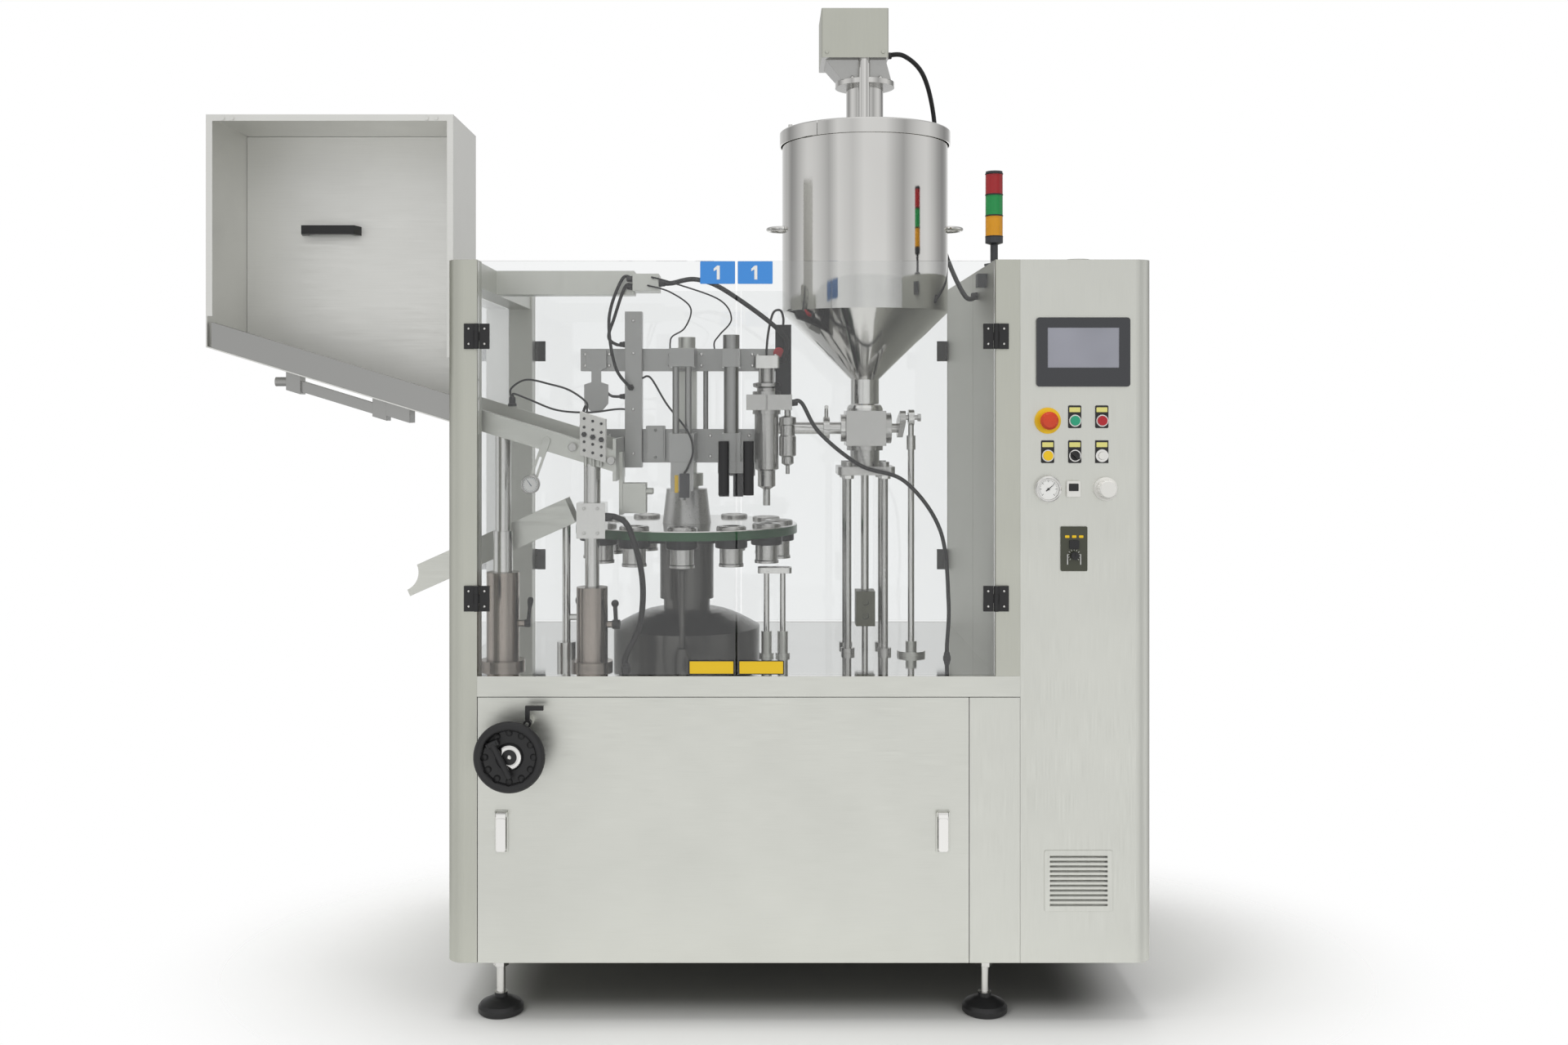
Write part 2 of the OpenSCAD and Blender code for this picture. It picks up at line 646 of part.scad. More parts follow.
// A column on a flange: sleeve, neck and a rod cut to the slope of the chute it carries
module chute_column(p, flange, sleeve, sleeve_h, neck, neck_top, rod) {
    difference() {
        union() {
            upright(p, flange, table_z, table_z + 14);
            upright(p, sleeve, table_z + 14, table_z + sleeve_h);
            upright(p, neck, table_z + sleeve_h, table_z + neck_top);
            upright(p, rod, table_z + neck_top, tray_z);
        }
        on_floor(left_x - 100, chute_x + 200, -sheet_t, 400, 0, 500);
        for (a = [45:90:315])
            translate([p[0] + flange * 0.44 * cos(a), p[1] + flange * 0.44 * sin(a), table_z + 8])
            cylinder(d = 7, h = 20);
    }
}
module loader_columns() color("lightgray") {
    clamp_z = table_z + 100;
    chute_column(column_1, 105, 78, 223, 46, 321, 37);
    chute_column(column_2, 98, 74, 189, 34, 306, 40);
    block([column_2[0] - 34, column_2[1] - 30, table_z + 306],
        [column_2[0] + 34, column_2[1] + 30, table_z + 390]);
    // Adjuster spindle that carries the discharge chute
    upright(column_3, 46, table_z, table_z + 40);
    difference() {
        upright(column_3, 20, table_z + 39, exit_top[1]);
        on_exit() block([-600, -300, -sheet_t], [600, 300, 300]);
    }
    // Clamp bosses on the columns
    bar_x([column_1[1], clamp_z], 16, column_1[0] + 38, column_1[0] + 52);
    bar_x([column_3[1], clamp_z], 16, column_3[0] + 9, column_3[0] + 26);
    bar_x([column_2[1], clamp_z], 16, column_2[0] + 36, column_2[0] + 48);
    bar_x([column_2[1], clamp_z], 8, column_2[0] + 47, column_2[0] + 66);
}

module clamp_lever() color("black") {
    x = column_2[0] + 48.4;
    difference() {
        union() {
            bar_x([column_2[1], table_z + 100], 22, x, x + 18);
            translate([x + 4, column_2[1], table_z + 100]) rotate([25, 0, 0]) block([0, -5, 0], [9, 5, 58]);
            translate([x + 8.5, column_2[1], table_z + 100]) rotate([25, 0, 0])
                translate([0, 0, 58]) sphere(d = 18);
        }
        bar_x([column_2[1], table_z + 100], 8 + 2 * fit, x - cut, x + 20);
    }
}

// Discharge chute's own frame: x down the slope to the left, z square to its floor
module on_exit() {
    translate([exit_top[0], (exit_y[0] + exit_y[1]) / 2, exit_top[1]]) rotate([0, -exit_slope, 0]) children();
}
module discharge_chute() color("silver") on_exit() {
    t = sheet_t;
    w = (exit_y[1] - exit_y[0]) / 2;
    difference() {
        block([-exit_l, -w, -t], [0, w, 60]);
        block([-exit_l - cut, -w + t, 0], [cut, w - t, 61]);
        translate([-exit_l, 0, 60]) rotate([90, 0, 0]) cylinder(r = 46, h = 2 * w + 2, center = true);
    }
}

module turret_column() color("silver") {
    wall_h = 59;
    dome_h = 46;
    r0 = 186;
    r1 = 59;
    bore = sleeve_d / 2 + fit;
    top = disc_z - table_z - clear;
    translate([turret[0], turret[1], table_z]) rotate_extrude()
        polygon(concat([[bore + 1.9, 0], [r0, 0]],
            [for (i = [0:6]) [r0 - (r0 - r1) * i / 6, wall_h + dome_h * sin(15 * i)]],
            [[r1, wall_h + dome_h + 25], [68.5, wall_h + dome_h + 25], [68.5, top], [bore, top],
                [bore, top - 60], [bore + 1.9, top - 62]]));
    // Push rod on a coned foot, under one station's cup
    p = station(-90);
    rod_h = plate_z - table_z - 97;
    translate([p[0], p[1], table_z]) rotate_extrude()
        polygon([[0, 0], [24, 0], [24, 18], [13, 36], [7.5, 40], [7.5, rod_h - 10], [9, rod_h - 7],
            [9, rod_h], [0, rod_h]]);
}

module turntable() color("darkolivegreen") {
    translate([turret[0], turret[1], plate_z - plate_t]) difference() {
        rotate_extrude() polygon([[sleeve_d / 2, 0], [plate_d / 2, 0], [plate_d / 2, plate_t - 2],
            [plate_d / 2 - 2, plate_t], [sleeve_d / 2, plate_t]]);
        stations() translate([0, 0, -cut]) cylinder(d = cup_seat_d, h = plate_t + 2 * cut);
    }
}

module turret_hub() color("dimgray") {
    disc_r = station_pcd / 2 - collar_d / 2 - 1;
    bore = mast_d / 2 + fit;
    // Drive sleeve down to the index gearbox, backing disc under the plate, and the hub on the plate
    translate([turret[0], turret[1], 0]) rotate_extrude()
        polygon([[bore + 3, gear_seat + clear], [sleeve_d / 2, gear_seat + clear], [sleeve_d / 2, disc_z],
            [disc_r, disc_z], [disc_r, disc_z + disc_t], [sleeve_d / 2, disc_z + disc_t],
            [sleeve_d / 2, plate_z], [62, plate_z], [52, hub_z], [bore, hub_z], [bore, hub_z - 30],
            [bore + 3, hub_z - 33]]);
}

module tube_cups() color("silver") {
    r = cup_d / 2;
    b = cup_bore / 2;
    drop = 90;
    low = -plate_t - disc_t - 8;
    translate([turret[0], turret[1], plate_z]) stations() rotate_extrude()
        polygon([[b, -drop], [r + 2, -drop], [r + 2, -drop + 6], [r, -drop + 8], [r, low],
            [collar_d / 2 - 2, low], [collar_d / 2, low + 2], [collar_d / 2, -plate_t],
            [cup_seat_d / 2, -plate_t], [cup_seat_d / 2, 0], [r + 8, 0], [r + 8, 5], [r + 5, 8],
            [b + 3, 8], [b, 5]]);
}

module mast() color("silver") {
    s = mast_s / 2;
    upright(turret, mast_d, gear_seat, hub_z + 40);
    upright(turret, 84, hub_z + 8, hub_z + 40);
    block([turret[0] - s, turret[1] - s, hub_z + 40], [turret[0] + s, turret[1] + s, mast_z - 28]);
    upright(turret, 44, mast_z - 28, mast_z);
}

module tool_beams() color("silver") {
    t = 40;
    y = [beam_y - t, beam_y];
    x0 = turret[0];
    block([x0 - 264, y[0], upper_z], [fill[0] + 62, y[1], upper_z + 56]);
    block([x0 - 202, y[0], lower_z], [x0 + 173, y[1], lower_z + 84]);
    // Square tube and slotted fork plate on the left
    difference() {
        block([x0 - 149, y[0] - 42, lower_z - 11], [x0 - 107, y[0], upper_z + 147]);
        block([x0 - 146, y[0] - 39, lower_z - 12], [x0 - 110, y[0] - 3, upper_z + 148]);
    }
    face_plate(y[0] - 10, y[0]) translate([x0 - 224, upper_z])
        polygon([[-26, 52], [26, 52], [26, 8], [12, 2], [12, -28], [30, -34], [30, -82], [14, -101],
            [-14, -101], [-30, -82], [-30, -34], [-12, -28], [-12, 2], [-26, 8]]);
    // Arms that reach out over the stations, with their guide rods and tools
    a = station(-90);
    b = station(-60);
    for (z = [[lower_z + 8, lower_z + 76], [upper_z + 6, upper_z + 50]]) {
        block([a[0] - 30, a[1] - 25, z[0]], [a[0] + 30, y[0], z[1]]);
        block([b[0] - 22, b[1] - 22, z[0]], [b[0] + 22, y[0], z[1]]);
    }
    for (s = [-1, 1]) upright([a[0] + s * 15, a[1]], 16, lower_z + 76, upper_z + 6);
    upright(b, 36, lower_z + 76, upper_z + 6);
    upright(b, 40, upper_z + 50, upper_z + 84);
    upright([x0 + 50, beam_y - t / 2], 13, lower_z + 84, upper_z);
    // Sensor head over one station, sealing jaw over the next
    block([a[0] - 26, a[1] - 20, lower_z - 62], [a[0] + 26, a[1] + 20, lower_z + 8]);
    upright(a, 18, lower_z - 84, lower_z - 62);
    for (s = [-1, 1])
        block([b[0] + s * 17 - 12, b[1] - 24, lower_z - 76], [b[0] + s * 17 + 12, b[1] + 24, lower_z - 20]);
    block([b[0] - 32, b[1] - 20, lower_z - 20], [b[0] + 32, b[1] + 20, lower_z + 8]);
}

module fill_head() color("silver") {
    z = valve_mid;
    translate([fill[0], fill[1], z]) rotate_extrude()
        polygon([[0, -190], [9, -190], [9, -150], [22, -142], [22, -104], [30, -100], [30, 36], [35, 36],
            [35, 92], [24, 92], [24, 100], [34, 104], [34, 112], [18, 116], [18, 160], [27, 160],
            [27, 172], [22, 178], [0, 178]]);
    for (a = [45:90:315]) upright(fill + 24 * [cos(a), sin(a)], 6, z + 112, z + 160);
    // Blow-off valve under the clamp block
    translate([fill[0] + 52, fill[1] - 8, z]) rotate_extrude()
        polygon([[0, -112], [5, -112], [5, -92], [15, -86], [15, -70], [21, -66], [21, -20], [18, -16],
            [18, 8], [21, 10], [21, 28], [8, 32], [8, 47], [0, 47]]);
    // Clamp block and its back bar on the tool beam
    front = beam_y - 40;
    difference() {
        block([fill[0] - 50, fill[1] - 50, z + 46], [fill[0] + 62, front - 12, z + 84]);
        upright(fill, 70, z + 45, z + 85);
        block([fill[0] - 2, fill[1] - 51, z + 45], [fill[0] + 2, fill[1], z + 85]);
    }
    block([fill[0] + 22, front - 12, z + 46], [fill[0] + 62, front, upper_z + 116]);
}

module fill_pipe() color("silver") {
    bend = 36;
    z = valve_mid;
    r = pipe_d / 2;
    x1 = pump[0] - valve_w / 2;
    difference() {
        union() {
            bar_x([pump[1], z], pipe_d, fill[0] + bend, x1);
            translate([fill[0] + bend, pump[1] - bend, z]) rotate(90) rotate_extrude(angle = 90)
                translate([bend, 0]) circle(d = pipe_d);
            bar_y([fill[0], z], pipe_d, fill[1], pump[1] - bend);
        }
        upright(fill, 60, z - 100, z + 36);
        bar_x([pump[1], z], pipe_d - 5, fill[0] + bend, x1 + cut);
    }
    // Clamp with its wing nut
    difference() {
        bar_x([pump[1], z], pipe_d + 26, x1 - 56, x1 - 40);
        bar_x([pump[1], z], pipe_d - 2, x1 - 57, x1 - 39);
    }
    upright([x1 - 48, pump[1]], 10, z + r + 12, z + r + 34);
    bar_y([x1 - 48, z + r + 38], 10, pump[1] - 20, pump[1] + 20);
    difference() {
        bar_x([pump[1], z], plug_d + 18, x1 - 12, x1);
        bar_x([pump[1], z], pipe_d - 2, x1 - 13, x1 + cut);
    }
}

module valve_block() color("lightgray") {
    d = 112;
    x = valve_w / 2;
    difference() {
        union() {
            block([pump[0] - x, pump[1] - d / 2, valve_z], [pump[0] + x, pump[1] + d / 2, valve_top]);
            bar_x([pump[1], valve_mid], 78, pump[0] + x, pump[0] + x + 16);
        }
        bar_x([pump[1], valve_mid], plug_d + 2 * fit, pump[0] - x - cut, pump[0] + x);
        bar_x([pump[1], valve_mid], 24 + 2 * fit, pump[0] + x - cut, pump[0] + x + 17);
        upright(pump, 40, valve_z - cut, valve_top + cut);
    }
}

module pump_frame() color("silver") {
    h = tie_pitch / 2;
    for (x = [-h, h]) for (y = [-h, h]) {
        upright(pump + [x, y], tie_d, table_z + 12, flange_z);
        upright(pump + [x, y], tie_d + 16, table_z, table_z + 12);
        upright(pump + [x, y], tie_d + 6, barrel_z, barrel_z + 12);
    }
    difference() {
        translate([pump[0], pump[1], flange_z]) linear_extrude(flange_t) round_rect(flange_s, flange_s, 14);
        upright(pump, 20 + 2 * fit, flange_z - cut, barrel_z + cut);
    }
    r = barrel_bore / 2;
    translate([pump[0], pump[1], barrel_z]) rotate_extrude()
        polygon([[r + 0.1, 0], [r + 7, 0], [r + 7, barrel_h - 12], [r + 16, barrel_h - 12], [r + 16, barrel_h],
            [20, barrel_h], [20, barrel_h - 3], [r + 0.1, barrel_h - 3]]);
}

module fill_piston() color("gainsboro") {
    top = valve_z - 5;
    head = table_z + 63;
    upright(pump, barrel_bore, top - 10, top);
    upright(pump, 20, head + 88, top - 10);
    difference() {
        block([pump[0] - 24, pump[1] - 30, head], [pump[0] + 24, pump[1] + 30, head + 88]);
        bar_y([pump[0], head + 60], 16, pump[1] - 31, pump[1] - 20);
        bar_y([pump[0], head + 26], 16, pump[1] - 31, pump[1] - 20);
    }
    upright(pump, 16, table_z - 89, head);
}

module valve_lever() color("silver") {
    x = pump[0];
    difference() {
        bar_x([pump[1], valve_mid], plug_d, x - valve_w / 2 + 1, x + valve_w / 2 - 1);
        upright(pump, 30, valve_mid, valve_top + cut);
        bar_x([pump[1], valve_mid], 26, x - valve_w / 2 - cut, x + 14);
    }
    bar_x([pump[1], valve_mid], 24, x + valve_w / 2 - 1, lever_x);
    // Lever plate: a slot outline from the shaft to the pin
    translate([lever_x, pump[1], valve_mid]) rotate([lever_swing / 2 * -1, 0, 0]) {
        rotate([90, 0, 90]) linear_extrude(14) {
            circle(24);
            translate([-lever_l, 0]) circle(17);
            polygon([[0, 24], [-lever_l, 17], [-lever_l, -17], [0, -24]]);
        }
        translate([14, -lever_l, 0]) rotate([0, 90, 0]) cylinder(d = 12, h = 30);
        translate([44, -lever_l, 0]) rotate([0, 90, 0]) cylinder(d = 20, h = 8, $fn = 6);
    }
}

module valve_rod() color("gainsboro") {
    p = [link_x, link_y];
    eye = 40;
    difference() {
        union() {
            translate([link_x - 7, link_y, link_z]) rotate([0, 90, 0]) cylinder(d = eye, h = 14);
            upright(p, 14, link_z - 45, link_z - 14);
        }
        translate([link_x - 8, link_y, link_z]) rotate([0, 90, 0]) cylinder(d = 26, h = 16);
    }
    upright(p, 22, link_z - 80, link_z - 45);
    upright(p, 16, table_z - 89, link_z - 80);
}

module lifter() color("gainsboro") {
    z = table_z + 206;
    for (x = lifter_x) upright([x, fill[1]], 14, table_z - 89, z);
    difference() {
        translate([(lifter_x[0] + lifter_x[1]) / 2, fill[1], z]) linear_extrude(14) round_rect(84, 40, 10);
        upright(fill, 8, z - cut, z + 15);
    }
}

module hopper() color("silver") {
    t = sheet_t;
    r = hopper_r;
    n = neck_d / 2;
    translate([pump[0], pump[1], valve_top]) rotate_extrude()
        polygon([[20, 0], [n + 10, 0], [n + 10, 6], [n + 6, 14], [n, 18], [n, neck_h], [r, neck_h + cone_h],
            [r, rim_z - valve_top - 12], [r + 3, rim_z - valve_top - 9], [r + 3, rim_z - valve_top],
            [r - t, rim_z - valve_top], [r - t, neck_h + cone_h + 2], [n - t, neck_h + 2], [n - t, 8], [20, 8]]);
    // Loop handles on both sides, a bedding gap off the wall they are welded to
    for (s = [0, 180]) translate([pump[0], pump[1], wall_z + 212]) rotate(s) difference() {
        translate([r - 2, 0, 0]) rotate_extrude() translate([38, 0]) circle(d = 10);
        translate([0, 0, -20]) cylinder(r = r + bed, h = 40);
    }
}

// The lid's outline: cap over the hopper rim, with a hole for the agitator shaft
module lid_cap() {
    r = hopper_r + 3;
    translate([pump[0], pump[1], rim_z]) rotate_extrude()
        polygon([[10 + fit, 0], [r + clear, 0], [r + clear, -30], [r + 3.5, -30], [r + 3.5, lid_t - 3],
            [r + 0.5, lid_t], [10 + fit, lid_t]]);
}
module hopper_lid() color("lightgray") {
    far = hopper_r + 20;
    difference() {
        lid_cap();
        block([pump[0] - far, pump[1] - far, rim_z - 40], [flap_axis[0], pump[1] + far, lid_top + 1]);
    }
    // Hinge of the filling flap: outer knuckles with the pin
    for (s = [-1, 1]) {
        bar_y(flap_axis, 11, pump[1] + s * 45 - 15, pump[1] + s * 45 + 15);
        block([flap_axis[0] + 1, pump[1] + s * 45 - 15, lid_top],
            [flap_axis[0] + 24, pump[1] + s * 45 + 15, lid_top + 4]);
    }
    bar_y(flap_axis, 5, pump[1] - 60, pump[1] + 60);
}
module lid_flap() color("lightgray") {
    far = hopper_r + 20;
    intersection() {
        lid_cap();
        block([pump[0] - far, pump[1] - far, rim_z - 40], [flap_axis[0] - 1, pump[1] + far, lid_top + 1]);
    }
    difference() {
        union() {
            bar_y(flap_axis, 11, pump[1] - 29.5, pump[1] + 29.5);
            block([flap_axis[0] - 24, pump[1] - 29.5, lid_top],
                [flap_axis[0] - 1, pump[1] + 29.5, lid_top + 4]);
        }
        bar_y(flap_axis, 5 + 2 * fit, pump[1] - 40, pump[1] + 40);
    }
    // Lift tab
    translate([flap_axis[0] - 62, pump[1], lid_top]) linear_extrude(16) round_rect(10, 70, 4);
}

module mixer_drive() color("gainsboro") {
    x = cover_x;
    y = pump[1];
    flange_top = lid_top + 127;
    difference() {
        upright(pump, 94, lid_top, lid_top + 115);
        upright(pump, 84, lid_top - cut, lid_top + 116);
    }
    upright(pump, 150, lid_top + 114, flange_top);
    // Flared bracket between the flange and the motor cover
    hull() {
        block([pump[0] - 62, y - 50, flange_top - cut], [pump[0] + 62, y + 50, flange_top]);
        block([x - 72, y - 60, cover_z], [x + 78, y + 60, cover_z + cut]);
    }
    translate([x, y, cover_z]) linear_extrude(cover_h) round_rect(cover_w, 170, 4);
    for (s = [-1, 1]) bar_y([x + s * 70, cover_z + 14], 9, y - 88, y - 85);
    // Level sensor tube in front of the neck
    upright([pump[0] - 6, y - 64], 30, lid_top, cover_z);
    upright([pump[0] - 6, y - 64], 44, lid_top, lid_top + 8);
}

module agitator() color("silver") {
    r = 108;
    z0 = wall_z + 40;
    upright(pump, 20, cone_z + 60, lid_top + 60);
    upright(pump, 40, lid_top + 60, lid_top + 112);
    for (a = [0, 180]) translate([pump[0], pump[1], 0]) rotate(a) {
        block([r - 8, -16, z0], [r, 16, z0 + 320]);
        for (z = [z0 + 20, z0 + 280]) block([8, -8, z], [r - 8, 8, z + 14]);
    }
    for (i = [0:2]) translate([pump[0], pump[1], wall_z - 60 + i * 130]) rotate(45 + 60 * i) rotate([35, 0, 0])
        block([-58, -14, -2], [58, 14, 2]);
}

module signal_tower() color("dimgray") {
    z = top_z;
    translate([tower[0], tower[1], z]) rotate_extrude()
        polygon([[0, 0], [24, 0], [24, 4], [9, 7], [9, 50], [tower_d / 2, 54], [tower_d / 2, 69], [0, 69]]);
    upright(tower, tower_d - 2, z + 219 + bed, z + 225);
    // Lenses: amber, green and red from the bottom
    for (i = [0:2]) color(["orange", "green", "red"][i])
        upright(tower, tower_d - 1, z + 69 + bed + i * 50, z + 119 + i * 50);
    // Cable gland on the post below the tower
    difference() {
        block([door_post_x - 22, tower[1] - 16, z - 52], [door_post_x, tower[1] + 16, z - 20]);
        upright([door_post_x - 11, tower[1]], 10, z - 30, z);
    }
}

module operator_panel() color("dimgray") {
    translate([panel_mid[0], 0, panel_mid[1]]) {
        difference() {
            face_plate(-7, 0) round_rect(panel_w, panel_h, 7);
            block([-82, -8, -36], [82, -4, 56]);
        }
        block([-panel_w / 2 + 11, 0, -panel_h / 2 + 11], [panel_w / 2 - 11, 40, panel_h / 2 - 11]);
        // Screen glass in the recess
        color("black") block([-82 + bed, -5.5, -36 + bed], [82 - bed, -4 - bed, 56 - bed]);
    }
}

// A ring standing on the cabinet's front face
module ring(x, z, d, bore, thick) {
    difference() {
        bar_y([x, z], d, -thick, 0);
        bar_y([x, z], bore, -thick - cut, cut);
    }
}
module control_trim() color("dimgray") {
    b = button_d + 2 * fit;
    // Emergency stop collar, button and selector bezels with their plates
    ring(row_x[0], row_z[0], 60, b, 4);
    for (p = [[row_x[1], row_z[0]], [row_x[2], row_z[0]], [row_x[0], row_z[1]], [row_x[1], row_z[1]]]) {
        difference() {
            face_plate(-2, 0) translate([p[0], p[1] + 9]) round_rect(30, 52, 3);
            bar_y(p, button_d + 6, -3, cut);
        }
        ring(p[0], p[1], button_d + 5.4, b, 7);
    }
    // Lamp
    ring(row_x[2], row_z[1], button_d + 7, 18, 5);
    bar_y([row_x[2], row_z[1]], 17.4, -10, 0);
    // Pressure gauge, pressure switch, regulator base
    g = [row_x[0], row_z[2]];
    translate([g[0], 0, g[1]]) rotate([90, 0, 0]) rotate_extrude()
        polygon([[0, 0], [30, 0], [30, 12], [27, 14], [25, 14], [25, 10], [0, 10]]);
    face_plate(-9, 0) translate([row_x[1] - 4, row_z[2]]) round_rect(31, 36, 3);
    ring(row_x[2] + 8, row_z[2], 54, 16 + 2 * fit, 7);
    // Speed panel with the spindle hole of its knob
    difference() {
        face_plate(-4, 0) translate(speed) round_rect(61, 102, 3);
        bar_y([speed[0], speed[1] - 15], 6 + 2 * fit, -5, cut);
    }
}

module push_button(x, z) {
    bar_y([x, z], button_d, -11, 4);
    bar_y([x, z], button_d - 6, 4, 26);
}
module start_button() color("green") push_button(row_x[1], row_z[0]);
module stop_button() color("red") push_button(row_x[2], row_z[0]);
module jog_button() color("gold") push_button(row_x[0], row_z[1]);
module emergency_stop() color("red") {
    translate([row_x[0], 0, row_z[0]]) rotate([90, 0, 0]) rotate_extrude()
        polygon([[0, -26], [button_d / 2, -26], [button_d / 2, 14], [stop_d / 2 - 3, 14], [stop_d / 2, 17],
            [stop_d / 2, 24], [stop_d / 2 - 5, 30], [0, 32]]);
}
module selector() color("black") {
    bar_y([row_x[1], row_z[1]], button_d, -9, 26);
    face_plate(-22, -9) translate([row_x[1], row_z[1]]) rotate(45) round_rect(7, button_d - 2, 3);
}
module regulator_knob() color("black") {
    x = row_x[2] + 8;
    translate([x, 0, row_z[2]]) difference() {
        rotate([90, 0, 0]) rotate_extrude()
            polygon([[0, -20], [8, -20], [8, 7.4], [21, 7.4], [21, 30], [18, 34], [0, 34]]);
        for (a = [0:30:330])
            rotate([0, a, 0]) translate([23, -36, 0]) rotate([-90, 0, 0]) cylinder(d = 7, h = 28);
    }
}
module speed_knob() color("black") {
    p = [speed[0], speed[1] - 15];
    bar_y(p, 6, -8, 20);
    difference() {
        bar_y(p, 18, -18, -4.4);
        block([p[0] - 1, -19, p[1]], [p[0] + 1, -17, p[1] + 10]);
    }
}

module latch(x) color("gainsboro") {
    difference() {
        union() {
            face_plate(-14, -4) translate([x, latch_z - 5]) round_rect(22, 76, 5);
            bar_x([-8, latch_z + 41], 10, x - 11.4, x + 11.4);
            block([x - 11, -13, latch_z + 25], [x + 11, -4, latch_z + 41]);
        }
        bar_x([-8, latch_z + 41], 4 + 2 * fit, x - 20, x + 20);
    }
}
module left_latch() { latch(latch_x[0]); }
module right_latch() { latch(latch_x[1]); }

module handwheel() color("dimgray") {
    r = wheel_d / 2;
    translate([wheel[0], 0, wheel[1]]) rotate([90, 0, 0]) {
        difference() {
            rotate_extrude() {
                translate([r - 11, wheel_off]) circle(11);
                polygon([[0, 46], [30, 46], [33, wheel_off - 11], [r - 12, wheel_off - 6], [r - 12, wheel_off + 2],
                    [32, wheel_off - 3], [28, wheel_off + 2], [0, wheel_off + 2]]);
            }
            // Finger grips on the rim's inner edge
            for (a = [0:30:330]) rotate(a) translate([r - 27, 0, wheel_off + 6]) sphere(d = 20);
        }
        translate([0, 0, -jog_end]) cylinder(d = jog_d, h = jog_end + 47);
        // Ears and pin of the folding grip
        rotate(grip_turn) translate([grip_at[0], grip_at[1], 0]) {
            for (s = [-1, 1]) block([-6, s * 12 - 2, wheel_off - 8], [6, s * 12 + 2, wheel_off + 18]);
            translate([0, -14, grip_off]) rotate([-90, 0, 0]) cylinder(d = 5, h = 28);
        }
    }
}
module wheel_grip() color("black") {
    translate([wheel[0], 0, wheel[1]]) rotate([90, 0, 0]) rotate(grip_turn)
        translate([grip_at[0], grip_at[1], grip_off]) difference() {
        union() {
            rotate([-90, 0, 0]) translate([0, 0, -9.6]) cylinder(d = 14, h = 19.2);
            translate([0, 0, 1]) rotate([0, -90, 0]) cylinder(d = 14, h = 80);
            translate([-80, 0, 1]) sphere(d = 14);
        }
        translate([0, -20, 0]) rotate([-90, 0, 0]) cylinder(d = 5 + 2 * fit, h = 40);
    }
}

module clutch_lever() color("black") {
    p = [wheel[0] + 34, wheel[1] + 66];
    difference() {
        union() {
            bar_y(p, 18, -40, -22.4);
            block([p[0] - 5, -38, p[1]], [p[0] + 5, -28, p[1] + 40]);
            block([p[0] - 5, -38, p[1] + 30], [p[0] + 36, -28, p[1] + 40]);
        }
        bar_y(p, 8 + 2 * fit, -48, -20);
    }
}

module drive_units() color("steelblue") {
    g = 120;
    z0 = table_z - 320;
    difference() {
        block([turret[0] - g, turret[1] - g, z0], [turret[0] + g, turret[1] + g, table_under]);
        upright(turret, sleeve_d + 4, gear_seat, table_under + cut);
    }
    // Motor with a finned body and terminal box
    my = turret[1] + 20;
    mz = table_z - 230;
    difference() {
        bar_x([my, mz], 160, turret[0] + g, turret[0] + g + 210);
        for (a = [0:20:340])
            translate([turret[0] + g + 30, my, mz]) rotate([a, 0, 0]) block([0, -3, 70], [160, 3, 90]);
    }
    block([turret[0] + g + 60, my - 40, mz + 72], [turret[0] + g + 130, my + 40, mz + 112]);
    // Right-angle box on the jog shaft and the tube to the index gearbox
    jog_y = jog_end - 40;
    difference() {
        block([wheel[0] - 50, jog_y, wheel[1] - 50], [wheel[0] + 50, jog_y + 100, wheel[1] + 50]);
        bar_y(wheel, jog_d + 2 * fit, jog_y - cut, jog_end + 4);
    }
    bar_x([jog_y + 60, wheel[1]], 50, wheel[0] + 50, turret[0] - g);
    // Pump actuator, valve cylinder and lifter cylinder under the worktop
    actuator(pump, 76, table_z - 310, 16);
    actuator([link_x, link_y], 50, table_z - 250, 16);
    difference() {
        block([lifter_x[0] - 28, fill[1] - 28, table_z - 240], [lifter_x[1] + 28, fill[1] + 20, table_under]);
        for (x = lifter_x) upright([x, fill[1]], 15, table_z - 150, table_under + cut);
    }
}
module actuator(p, d, z0, rod) {
    difference() {
        upright(p, d, z0, table_under);
        upright(p, rod + 1, table_z - 170, table_under + cut);
    }
}

module control_gear() color("gray") {
    x = [elec_x + sheet_t, right_x - sheet_t];
    y = cab_d - 160;
    block([x[0], y, foot_h + 260], [x[1], y + 4, top_z - 120]);
    // Controller, drives, breaker row and terminal row on the mounting plate
    block([x[0] + 30, y - 90, top_z - 330], [x[0] + 190, y, top_z - 180]);
    for (i = [0:2]) block([x[0] + 30 + i * 80, y - 120, top_z - 640], [x[0] + 95 + i * 80, y, top_z - 440]);
    for (i = [0:5]) block([x[0] + 30 + i * 34, y - 70, top_z - 820], [x[0] + 58 + i * 34, y, top_z - 730]);
    block([x[0] + 30, y - 45, foot_h + 320], [x[0] + 260, y, foot_h + 370]);
}

